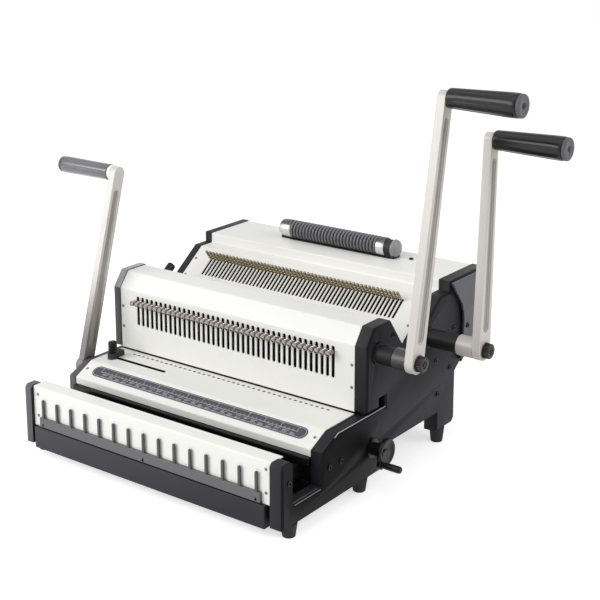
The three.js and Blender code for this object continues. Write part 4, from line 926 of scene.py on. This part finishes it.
def pan_screw(radius, height):
    """A low round head with a shallow round recess."""
    def draw(bm):
        lathe(bm, [(-0.8, 0), (-0.8, radius * 0.6), (0, radius), (height * 0.5, radius * 0.96),
                   (height * 0.85, radius * 0.7), (height, radius * 0.35), (height * 0.5, 0.12),
                   (height * 0.5, 0)], (0, 0, 0), (0, 0, 1), 20)
    return draw


side_spots = [(-136.5, 64.7), (-112.4, 64.1), (107.1, 125.3), (144.4, 105.3), (113.2, 76.7),
              (152.3, 159.1), (0.1, 193), (-217.1, 74.6)]
placed("right_side_screws", socket_screw(3.6, 1.6),
       [((RIGHT_FACE, y, z), (1, 0, 0)) for y, z in side_spots]
       + [((224.4, 166.1 + 12, 156.9), (1, 0, 0)), ((224.4, 222, 216), (1, 0, 0))],
       SCREW_BLACK, "base")
placed("left_side_screws", socket_screw(3.6, 1.6),
       [((LEFT_FACE, y, z), (-1, 0, 0)) for y, z in side_spots if (y, z) != (-112.4, 64.1)],
       SCREW_BLACK, "base")
face_out = (0, -UP_Z, UP_Y)
chamfer_out = (0, -0.436, 0.9)
white_spots = [((x, FRONT_FACE, z), (0, -1, 0)) for x in (-193.5, 193.5) for z in (134.5, 164)]
white_spots += [((x, *rear_point(s, 0)), face_out) for x in (-193, 193) for s in (40, 71)]
white_spots += [((x, -130.5, 94), chamfer_out) for x in (-192, 192)]
white_spots += [((x, CLOSER_PLATE, z), (0, -1, 0)) for x in (-190, 190) for z in (58, 87.7)]
placed("cover_screws", pan_screw(2.1, 1.0), white_spots, SCREW_STEEL, "base")
top_spots = [((118, 203, 225), (0, 0, 1)), ((-96, 218, 225), (0, 0, 1))]
placed("top_screws", socket_screw(3.2, 2.0), top_spots, SCREW_BLACK, "base")
rack_spots = [((x, CLOSER_FRONT + 0.1, 50.5), (0, -1, 0)) for x in (-170, 170)]
placed("rack_screws", socket_screw(2.6, 0.01), rack_spots, SCREW_BLACK, "base")
back_spots = [((x, 160.5, z), (0, 1, 0)) for x in (-190, 190) for z in (58, 86)]
back_spots += [((x, 233.7, z), (0, 1, 0)) for x in (-188, 0, 188) for z in (160, 215)]
placed("back_screws", pan_screw(2.4, 0.8), back_spots, SCREW_BLACK, "base")


# ---------------------------------------------------------------- printed marks and scale label
mark = box(bmesh.new(), -165.1 - 2.1, -165.1 + 2.1, -66.9, -63.5, 100.96, 101.04)
row("table_hole_marks", mark, 40, (8.4667, 0, 0), PRINT_DARK, "base")

SLOPE = math.atan2(15, 30)
LABEL_ALONG = 0.56 * 30
LABEL_AT = Vector((0, -147 + LABEL_ALONG, 86 + LABEL_ALONG * math.tan(SLOPE)))


def on_slope(u, v, lift):
    """A place on the table's sloping front, u across and v up the slope from the label's line."""
    return LABEL_AT + Vector((u, v * math.cos(SLOPE) - lift * math.sin(SLOPE),
                              v * math.sin(SLOPE) + lift * math.cos(SLOPE)))


def slope_plate(bm, outline, low, high):
    bottom = [bm.verts.new(on_slope(u, v, low)) for u, v in outline]
    top = [bm.verts.new(on_slope(u, v, high)) for u, v in outline]
    bm.faces.new(bottom[::-1])
    bm.faces.new(top)
    for i in range(len(outline)):
        j = (i + 1) % len(outline)
        bm.faces.new((bottom[i], bottom[j], top[j], top[i]))
    return bm


def pill(half_length, half_width, steps=12):
    outline = []
    for centre, turn in ((half_length - half_width, -math.pi / 2),
                         (half_width - half_length, math.pi / 2)):
        for k in range(steps + 1):
            a = turn + math.pi * k / steps
            outline.append((centre + half_width * math.cos(a), half_width * math.sin(a)))
    return outline


make("scale_film", slope_plate(bmesh.new(), pill(180, 9), 0.05, 0.9), LABEL_FILM, "base",
     nodes=("scale_label",), bevel=0.25)


def scale_print():
    """Plain scale: a base line, a tick for every rear hole, every fourth long, and dashes."""
    bm = bmesh.new()

    def bar(u0, u1, v0, v1):
        slope_plate(bm, [(u0, v0), (u1, v0), (u1, v1), (u0, v1)], 0.88, 0.94)

    bar(-166, 166, -0.4, 0.1)
    for k in range(53):
        u = -165.1 + 6.35 * k
        bar(u - 0.25, u + 0.25, 0.1, 4.2 if k % 4 == 0 else 2.4)
    for k in range(27):
        u = -160 + 12.2 * k
        for line, share in ((-2.2, 0.9), (-3.7, 0.6), (-5.2, 0.75), (-6.7, 0.5)):
            if (k * 5 + int(-line * 10)) % 4:
                bar(u, u + 10.5 * share, line - 0.5, line)
    rim_out, rim_in = pill(178.6, 7.6), pill(178.1, 7.1)
    for i in range(len(rim_out)):
        j = (i + 1) % len(rim_out)
        slope_plate(bm, [rim_out[i], rim_out[j], rim_in[j], rim_in[i]], 0.88, 0.94)
    return bm


make("scale_print_lines", scale_print(), PRINT_WHITE, "base")


def scale_numbers():
    """Plain numbers over the long ticks, as flat meshes on the film."""
    joined = bmesh.new()
    for k in range(0, 14):
        text = bpy.data.curves.new("number", "FONT")
        text.body = str(k)
        text.size = 3.4
        text.align_x = "CENTER"
        text.extrude = 0.03
        made = bpy.data.objects.new("number", text)
        bpy.context.scene.collection.objects.link(made)
        graph = bpy.context.evaluated_depsgraph_get()
        mesh = bpy.data.meshes.new_from_object(made.evaluated_get(graph), depsgraph=graph)
        shift = on_slope(-165.1 + 25.4 * k, 4.6, 0.91)
        mesh.transform(Matrix.Translation(shift) @ Matrix.Rotation(SLOPE, 4, "X"))
        joined.from_mesh(mesh)
        bpy.data.meshes.remove(mesh)
        bpy.data.objects.remove(made)
    bmesh.ops.remove_doubles(joined, verts=joined.verts, dist=0.001)
    return joined


make("scale_print_numbers", scale_numbers(), PRINT_WHITE, "base")


# ---------------------------------------------------------------- levers
LEVERS = {
    "front": dict(y=-34, z=178, outer=276, boss=19.5, length=322, lean=10.4, thick=12,
                  hub=14.0, tip=9.2, sleeve=12.3, boss_finish=BOSS_SHADED, grip_finish=GRIP_BLACK,
                  body="front_drive", grip=(12.4, 15.0, 93.5), collar=0.4,
                  bolt=10.5, nut=8.9, coat="silver", waist=None, groove=(6.6, 5.0),
                 groove_inside=False),
    "rear": dict(y=87, z=164.5, outer=301, boss=24.5, length=271, lean=1.9, thick=12,
                 hub=14.0, tip=9.2, sleeve=12.3, boss_finish=BOSS_PALE, grip_finish=GRIP_BLACK,
                 body="rear_drive", grip=(12.4, 15.0, 93.5), collar=0.4,
                 bolt=10.5, nut=8.9, coat="silver", waist=None, groove=(6.6, 5.0),
                 groove_inside=False),
    "closer": dict(y=-110, z=88, outer=-222, boss=1.4, length=270, lean=16, thick=10.4,
                   hub=14.0, tip=10.0, sleeve=0, boss_finish=BOSS_SHADED, grip_finish=GRIP_SHEEN,
                   body="closer_drive", grip=(11.3, 11.9, 96), collar=6.0,
                   bolt=9.0, nut=5.9, coat="grey", waist=10.5, groove=(5.0, 4.8),
                   groove_inside=True),
}


def lever_point(lever, along, across):
    lean = math.radians(lever["lean"])
    return (lever["y"] + along * math.sin(lean) + across * math.cos(lean),
            lever["z"] + along * math.cos(lean) - across * math.sin(lean))


def blade_outline(lever):
    """The side view of a blade: a round end on the shaft, straight flanks and a round tip."""
    if lever["waist"] is None:
        across = hull_outline(0, lever["length"], lever["hub"], lever["tip"], 16)
    else:
        across = hull_outline(0, lever["length"], lever["waist"], lever["tip"], 16)
        across = [(a, c) for a, c in across if a > lever["hub"]]
        open_angle = math.asin(lever["waist"] / lever["hub"])
        for k in range(25):
            a = open_angle + (2 * math.pi - 2 * open_angle) * k / 24
            across.append((lever["hub"] * math.cos(a), lever["hub"] * math.sin(a)))
    return [lever_point(lever, a, c) for a, c in across]


def build_lever(name, lever):
    side = 1 if lever["outer"] > 0 else -1
    outer, body = lever["outer"], lever["body"]
    inner = outer - side * lever["thick"]
    length = lever["length"]
    material = LEVER_SILVER if lever["coat"] == "silver" else LEVER_GREY_SHADED_LOW
    arm = prism(bmesh.new(), blade_outline(lever), min(inner, outer), max(inner, outer))

    def groove(from_x, to_x):
        outline = [lever_point(lever, a, c) for a, c in hull_outline(
            30, length - 28, lever["groove"][0], lever["groove"][1], 8)]
        return prism(bmesh.new(), outline, *sorted((from_x, to_x)))

    bore = lathe(bmesh.new(), [(-40, 6.3), (40, 6.3)], (inner, lever["y"], lever["z"]),
                 (1, 0, 0), 24)
    cutters = [groove(outer - side * 3, outer + side * 4), bore]
    # The groove floors are thin pieces in darker metal: painted shade in the grooves
    floors = [groove(outer - side * 3.2, outer - side * 2.9)]
    if lever["groove_inside"]:
        cutters.append(groove(inner + side * 2.6, inner - side * 4))
        floors.append(groove(inner + side * 2.8, inner + side * 2.5))
    make(f"{name}_lever_blade", arm, material, body,
         nodes=(f"{name}_lever_arm",), bevel=1.0, steps=3, cutters=cutters)
    for k, floor in enumerate(floors):
        make(f"{name}_lever_groove_floor_{k}", floor, LEVER_GROOVE_SHADE, body)
    boss_end = inner - side * lever["boss"]
    start, reach = inner - side * 0.2, abs(boss_end - inner) - 0.2
    boss = lathe(bmesh.new(), [
        (0, 6.4), (0, lever["hub"] - 0.4), (reach - 0.9, lever["hub"] - 0.4),
        (reach, lever["hub"] - 1.3), (reach, 6.4),
    ], (start, lever["y"], lever["z"]), (-side, 0, 0), 48)
    make(f"{name}_lever_boss", boss, lever["boss_finish"], body)

    # Bolt: washer, a thick nut with a ribbed rim, and the shaft's turned end
    bolt_x, wide_bolt, tall = outer + side * FIT, lever["bolt"], lever["nut"]
    washer = lathe(bmesh.new(), [
        (0, 0), (0, wide_bolt - 0.5), (0.3, wide_bolt), (1.2, wide_bolt),
        (1.6, wide_bolt - 0.5), (1.6, 0),
    ], (bolt_x, lever["y"], lever["z"]), (side, 0, 0), 40)
    make(f"{name}_lever_washer", washer, BOLT_BLACK, body,
         nodes=(f"{name}_lever_bolt",))
    nut = lathe(bmesh.new(), [
        (1.7, 0), (1.7, wide_bolt * 0.86), (2.2, wide_bolt * 0.94), (tall - 1.2, wide_bolt * 0.94),
        (tall - 0.5, wide_bolt * 0.88), (tall - 0.2, wide_bolt * 0.78),
        (tall - 0.2, wide_bolt * 0.5), (tall - 1.4, wide_bolt * 0.44), (tall - 1.4, 0),
    ], (bolt_x, lever["y"], lever["z"]), (side, 0, 0), 96,
        flutes=16, flute_depth=1.1, flute_span=(2.0, tall - 1))
    make(f"{name}_lever_nut", nut, BOLT_BLACK, body, angle=50)
    stud = lathe(bmesh.new(), [(tall - 1.5, 0), (tall - 1.5, 2.9), (tall - 0.5, 2.9),
                               (tall - 0.1, 2.3), (tall - 0.1, 0)],
                 (bolt_x, lever["y"], lever["z"]), (side, 0, 0), 6)
    make(f"{name}_lever_stud", stud, SCREW_BLACK, body)

    # Grip: a pale collar on the blade, then a fluted, slightly flared bar with a rounded rim
    thin, wide, span = lever["grip"]
    top_y, top_z = lever_point(lever, length, 0)
    first = lever["collar"]
    if first > 1:
        collar = lathe(bmesh.new(), [
            (-0.2, 0), (-0.2, thin - 0.8), (first - 0.8, thin - 0.8), (first - 0.2, thin - 1.4),
            (first - 0.2, 0),
        ], (outer, top_y, top_z), (side, 0, 0), 48)
        make(f"{name}_lever_grip_collar", collar, COATED_WHITE, body)
    profile = [(first, 0), (first, thin - 1.4), (first + 0.5, thin - 0.5), (first + 1.6, thin)]
    steps = 16
    for k in range(steps + 1):
        along = first + 3 + (span - first - 8) * k / steps
        profile.append((along, thin + (wide - thin) * min(1, along / span * 1.15)))
    profile += [(span - 3, wide - 0.1), (span - 1.2, wide - 0.3), (span - 0.4, wide - 1.0),
                (span, wide - 2.0), (span, 0)]
    grip = lathe(bmesh.new(), profile, (outer, top_y, top_z), (side, 0, 0), 96,
                 flutes=6, flute_depth=0.7, flute_span=(first + 3.5, span - 6))
    make(f"{name}_lever_handgrip", grip, lever["grip_finish"], body,
         nodes=(f"{name}_lever_grip",), angle=50)
    rim = wide - 0.6
    cap = lathe(bmesh.new(), [
        (0.1, 0), (0.1, rim - 0.8), (0.9, rim), (3.4, rim), (4.4, rim - 0.5), (4.9, rim - 1.6),
        (4.9, rim * 0.62), (4.5, rim * 0.58), (4.5, rim * 0.3), (3.2, rim * 0.26), (3.2, 0),
    ], (outer + side * span, top_y, top_z), (side, 0, 0), 48)
    make(f"{name}_lever_end_cap", cap, CAP_GREY, body,
         nodes=(f"{name}_lever_grip_cap",))
    screw = lathe(bmesh.new(), [(3.1, 0), (3.1, rim * 0.2), (4.0, rim * 0.2), (4.2, rim * 0.14),
                                (3.7, 0.3), (3.7, 0)],
                  (outer + side * span, top_y, top_z), (side, 0, 0), 20)
    make(f"{name}_lever_cap_screw", screw, SCREW_BLACK, body)

    # Sleeve between the side cover and the boss
    if lever["sleeve"]:
        far = boss_end - FIT - RIGHT_FACE - FIT
        sleeve = lathe(bmesh.new(), [
            (0, 6.4), (0, 13.6), (2.6, 13.6), (3.2, lever["sleeve"]), (far - 0.6, lever["sleeve"]),
            (far, lever["sleeve"] - 0.6), (far, 6.4),
        ], (RIGHT_FACE + FIT, lever["y"], lever["z"]), (1, 0, 0), 48)
        make(f"{name}_lever_bushing", sleeve, SLEEVE_BLACK, "base",
             nodes=(f"{name}_lever_sleeve",))


for lever_name, lever_facts in LEVERS.items():
    build_lever(lever_name, lever_facts)


# ---------------------------------------------------------------- crank
CRANK_Y, CRANK_Z = -45.0, 56.6
hub = lathe(bmesh.new(), [
    (0.3, 0), (0.3, 12.5), (2.4, 12.5), (3.2, 8.5), (15.2, 8.5), (16.8, 10.5), (18.2, 16.2),
    (18.8, 17.2), (20.2, 17.5), (22.8, 17.5), (23.8, 17.0), (24.3, 15.8), (24.3, 14.2),
    (23.4, 12.8), (22.4, 9.0), (22.2, 4.6), (23.4, 4.2), (23.6, 0),
], (RIGHT_FACE, CRANK_Y, CRANK_Z), (1, 0, 0), 64)
make("crank_wheel", hub, KNOB_BLACK, "adjuster", nodes=("crank_knob",))
crank_angle = math.radians(224)
PIN_SPOT = (CRANK_Y + 17 * math.cos(crank_angle), CRANK_Z + 17 * math.sin(crank_angle))
lug = prism(bmesh.new(), [
    (CRANK_Y + a * math.cos(crank_angle) - c * math.sin(crank_angle),
     CRANK_Z + a * math.sin(crank_angle) + c * math.cos(crank_angle))
    for a, c in hull_outline(6, 17, 9.5, 6.4, 12)], RIGHT_FACE + 18.9, RIGHT_FACE + 24.25)
make("crank_lug", lug, KNOB_BLACK, "adjuster", bevel=0.9, steps=3)
crank_pin = lathe(bmesh.new(), [
    (0.3, 0), (0.3, 4.4), (1.4, 4.4), (1.8, 3.7), (2.6, 3.7), (3.2, 4.3), (17, 4.6), (24.5, 4.5),
    (26.2, 3.9), (27, 2.4), (27, 0),
], (RIGHT_FACE + 24.3, *PIN_SPOT), (1, 0, 0), 32)
make("crank_spin_handle", crank_pin, KNOB_BLACK, "adjuster_handle",
     nodes=("crank_handle_pin",))


# ---------------------------------------------------------------- edge guides
def build_guide(name, node, knob_node, body, knob_body, back, placing):
    block = box(bmesh.new(), -183.1, -174.3, -5, back, 0.3, 8)
    box(block, -182.8, -174.6, -2.6, 2.6, -8, 0.25)
    block.transform(placing)
    make(f"{name}_guide_block", block, GUIDE_BLACK, body, nodes=(node,), bevel=0.8)
    stand = lathe(bmesh.new(), [(0.35, 0), (0.35, 5.9), (0.8, 6.3), (7.2, 6.3), (7.9, 5.6), (7.9, 0)],
                  (-178.7, -5.6, 0), (0, 0, 1), 48)
    stand.transform(placing)
    make(f"{name}_guide_stand", stand, GUIDE_BLACK, body)
    knob = lathe(bmesh.new(), [
        (8.3, 0), (8.3, 5.2), (8.8, 5.9), (10, 6.1), (23, 6.1), (24.3, 5.4), (25, 3.6), (25, 0),
    ], (-178.7, -4, 0), (0, 0, 1), 60, flutes=20, flute_depth=0.5, flute_span=(9.5, 23.5))
    knob.transform(placing)
    make(f"{name}_guide_clamp", knob, KNOB_BLACK, knob_body, nodes=(knob_node,),
         angle=50)


# Painted shade: thin near-black walls inside the front guide slot, so the slot reads dark
slot_shade = box(bmesh.new(), -183, -88, -92.97, -92.72, 99.2, 100.95)
box(slot_shade, -183, -88, -87.28, -87.03, 99.2, 100.95)
make("front_guide_slot_lining", slot_shade, SHADE_BLACK, "base")
REST_SPOT = rear_point(-3.5, -45)
build_guide("front", "front_edge_guide", "front_guide_knob", "front_guide", "front_clamp_knob",
            15, Matrix.Translation((0, -90, 101)))
build_guide("rear", "rear_edge_guide", "rear_guide_knob", "rear_guide", "rear_clamp_knob", 13,
            Matrix.Translation((0, *REST_SPOT)) @ Matrix.Rotation(TILT - math.pi / 2, 4, "X"))


# ---------------------------------------------------------------- carrying handle
HANDLE_Y, HANDLE_Z = 196.0, 238.9


def handle_lathe(profile, segments=56):
    return lathe(bmesh.new(), profile, (0, HANDLE_Y, HANDLE_Z), (1, 0, 0), segments)


# The handle's core and its recessed right ring are near-black painted shade; the ribs over it a lit
# grey
make("handle_core", handle_lathe([(-81, 0), (-81, 10.6), (69.6, 10.6), (69.6, 0)]),
     HANDLE_GROOVE_SHADE, "base", nodes=("handle_grip",))
rib_profile = [(-1.7, 10.3), (-1.6, 11.8), (-1.1, 13.0), (-0.4, 13.5), (0.4, 13.5), (1.1, 13.0),
               (1.6, 11.8), (1.7, 10.3)]
rib = handle_lathe([(x - 78.5, r) for x, r in rib_profile], 40)
row("handle_ribs", rib, 27, (5.6, 0, 0), HANDLE_RIB_LIT_RUBBER, "base")
make("handle_left_socket", handle_lathe([
    (-102.2, 0), (-102.2, 8.5), (-101.8, 10.4), (-100.6, 11.9), (-98.6, 12.8), (-95, 13.2),
    (-83.4, 13.4), (-82.2, 13.0), (-81.2, 12.2), (-81.2, 0)]), HANDLE_GLOSS_SHADED_TOP, "base",
     nodes=("handle_left_end",))
make("handle_right_collar", handle_lathe([
    (69.8, 0), (69.8, 12.6), (70.6, 13.3), (82, 13.4), (83, 12.8), (83, 0)]),
     HANDLE_GLOSS_SHADED_TOP, "base", nodes=("handle_right_end",))
make("handle_right_ring", handle_lathe([
    (83.1, 0), (83.1, 11.6), (93.6, 11.6), (93.6, 0)]), HANDLE_GROOVE_SHADE, "base")
make("handle_right_cap", handle_lathe([
    (93.7, 0), (93.7, 12.2), (94.6, 12.9), (97, 12.7), (99.6, 11.5), (101.4, 9.4), (102.2, 6.2),
    (102.2, 0)]), HANDLE_CAP, "base")


def saddle(from_x, to_x):
    """The foot of a handle end, standing on the cover."""
    return box(bmesh.new(), from_x, to_x, HANDLE_Y - 8, HANDLE_Y + 8, 225.1, HANDLE_Z - 4)


# Painted shadow: a thin dark strip on the cover under the handle, showing as a contact shadow line
make("handle_bed", box(bmesh.new(), -84, 92, HANDLE_Y - 9.5, HANDLE_Y + 9.5, 225.02, 225.9),
     GUIDE_BLACK, "base", bevel=0.2)
make("handle_left_foot", saddle(-99, -86), KNOB_BLACK, "base", bevel=0.6)
make("handle_right_foot", saddle(84, 99), KNOB_BLACK, "base", bevel=0.6)


# ---------------------------------------------------------------- feet
def foot(height):
    def draw(bm):
        lathe(bm, [(0, 0), (0, 7.4), (0.7, 8.1), (height * 0.5, 9.2), (height - 1.2, 10.3),
                   (height - 0.3, 10.4), (height - 0.05, 10.1), (height - 0.05, 0)],
              (0, 0, 0), (0, 0, 1), 40)
    return draw


placed("machine_feet", foot(17.7), [((x, y, 0), (0, 0, 1)) for x in (-203.8, 206.45)
                                    for y in (-202.5, -55.2)], FOOT_RUBBER, "base",
       nodes=("foot_front_left", "foot_front_right", "foot_middle_left", "foot_middle_right"))
placed("machine_rear_feet", foot(21.7), [((x, 133.4, 0), (0, 0, 1)) for x in (-203.8, 206.45)],
       FOOT_RUBBER, "base", nodes=("foot_rear_left", "foot_rear_right"))


# ---------------------------------------------------------------- wire trough
def trough_brackets():
    """Angle brackets on the trough floor that carry the table's front."""
    bm = bmesh.new()
    for x in (-150, -50, 50, 150, 186):
        box(bm, x - 9, x + 9, -172, -146, 23.05, 26)
        box(bm, x - 9, x + 9, -149, -146, 26.05, 44)
    return bm


make("trough_brackets", trough_brackets(), COATED_BLACK, "base", bevel=0.5)
placed("bracket_screws", socket_screw(3.2, 2.4),
       [((x, -161, 26.0), (0, 0, 1)) for x in (-150, -50, 50, 150, 186)],
       SCREW_STEEL, "base")
make("trough_back_wall", box(bmesh.new(), -197.5, 197.5, -143.6, -142.2, 23.1, 67.9), DARK_CAST,
     "base", bevel=0.3)

# ---------------------------------------------------------------- finishes of the other nodes
# The dies, rams and tie bars take the near-black of painted shade
SHADED_INNER_NODES = {"front_die_block", "rear_die_block", "front_ram", "rear_ram",
              "front_tie_bar", "rear_tie_bar", "upper_tie_bar"}
for node_name, node in frame["nodes"].items():
    if not node.hide_render:
        node.data.materials.clear()
        node.data.materials.append(
            INNER_SHADE_BLACK if node_name in SHADED_INNER_NODES else NODE_FINISH[SLOT_OF[node_name]])


# ---------------------------------------------------------------- floor, backdrop and light
def seen_rays(tree):
    """One for the rays that show the background: to the camera, off gloss and through glass."""
    path = tree.nodes.new("ShaderNodeLightPath")
    total = path.outputs["Is Camera Ray"]
    for kind in ("Is Glossy Ray", "Is Transmission Ray"):
        both = tree.nodes.new("ShaderNodeMath")
        both.operation = "MAXIMUM"
        tree.links.new(total, both.inputs[0])
        tree.links.new(path.outputs[kind], both.inputs[1])
        total = both.outputs[0]
    return total


def build_stage():
    """A pale floor that runs into a pale background, and soft light from above and the sides."""
    mesh = bpy.data.meshes.new("floor")
    mesh.from_pydata([(-9, -9, 0), (9, -9, 0), (9, 9, 0), (-9, 9, 0)], [], [(0, 1, 2, 3)])
    pale = bpy.data.materials.new("pale_floor")
    pale.use_nodes = True
    tree = pale.node_tree
    shader = tree.nodes["Principled BSDF"]
    shader.inputs["Base Color"].default_value = (0.86, 0.86, 0.86, 1)
    shader.inputs["Roughness"].default_value = 0.9
    shader.inputs["Specular IOR Level"].default_value = 0.1
    glow = tree.nodes.new("ShaderNodeEmission")
    glow.inputs["Color"].default_value = (1, 1, 1, 1)
    lift = tree.nodes.new("ShaderNodeMath")
    lift.operation = "MULTIPLY"
    lift.inputs[1].default_value = 0.6
    both = tree.nodes.new("ShaderNodeAddShader")
    out = tree.nodes["Material Output"]
    tree.links.new(seen_rays(tree), lift.inputs[0])
    tree.links.new(lift.outputs[0], glow.inputs["Strength"])
    tree.links.new(shader.outputs[0], both.inputs[0])
    tree.links.new(glow.outputs[0], both.inputs[1])
    tree.links.new(both.outputs[0], out.inputs["Surface"])
    floor = add_object("floor", mesh, pale)

    world = bpy.data.worlds.new("studio")
    bpy.context.scene.world = world
    world.use_nodes = True
    tree = world.node_tree
    ambient = tree.nodes["Background"]
    ambient.inputs["Color"].default_value = (1, 1, 1, 1)
    ambient.inputs["Strength"].default_value = 0.45
    white = tree.nodes.new("ShaderNodeBackground")
    white.inputs["Color"].default_value = (1, 1, 1, 1)
    white.inputs["Strength"].default_value = 1.0
    mix = tree.nodes.new("ShaderNodeMixShader")
    tree.links.new(seen_rays(tree), mix.inputs["Fac"])
    tree.links.new(ambient.outputs[0], mix.inputs[1])
    tree.links.new(white.outputs[0], mix.inputs[2])
    tree.links.new(mix.outputs[0], tree.nodes["World Output"].inputs["Surface"])

    def lamp(name, place, target, size, watts):
        light = bpy.data.lights.new(name, "AREA")
        light.shape = "DISK"
        light.size = size
        light.energy = watts
        holder = bpy.data.objects.new(name, light)
        holder.location = place
        holder.rotation_euler = (Vector(target) - Vector(place)).to_track_quat("-Z", "Y").to_euler()
        bpy.context.scene.collection.objects.link(holder)

    lamp("key_light", (-1.15, -1.85, 1.2), (0, 0, 0.15), 1.7, 32)
    lamp("top_light", (0.0, -0.6, 2.3), (0, 0, 0.1), 1.7, 6)
    lamp("side_light", (2.0, 0.5, 1.5), (0, 0, 0.15), 1.4, 16.5)


build_stage()
bpy.context.scene.view_settings.view_transform = "Standard"
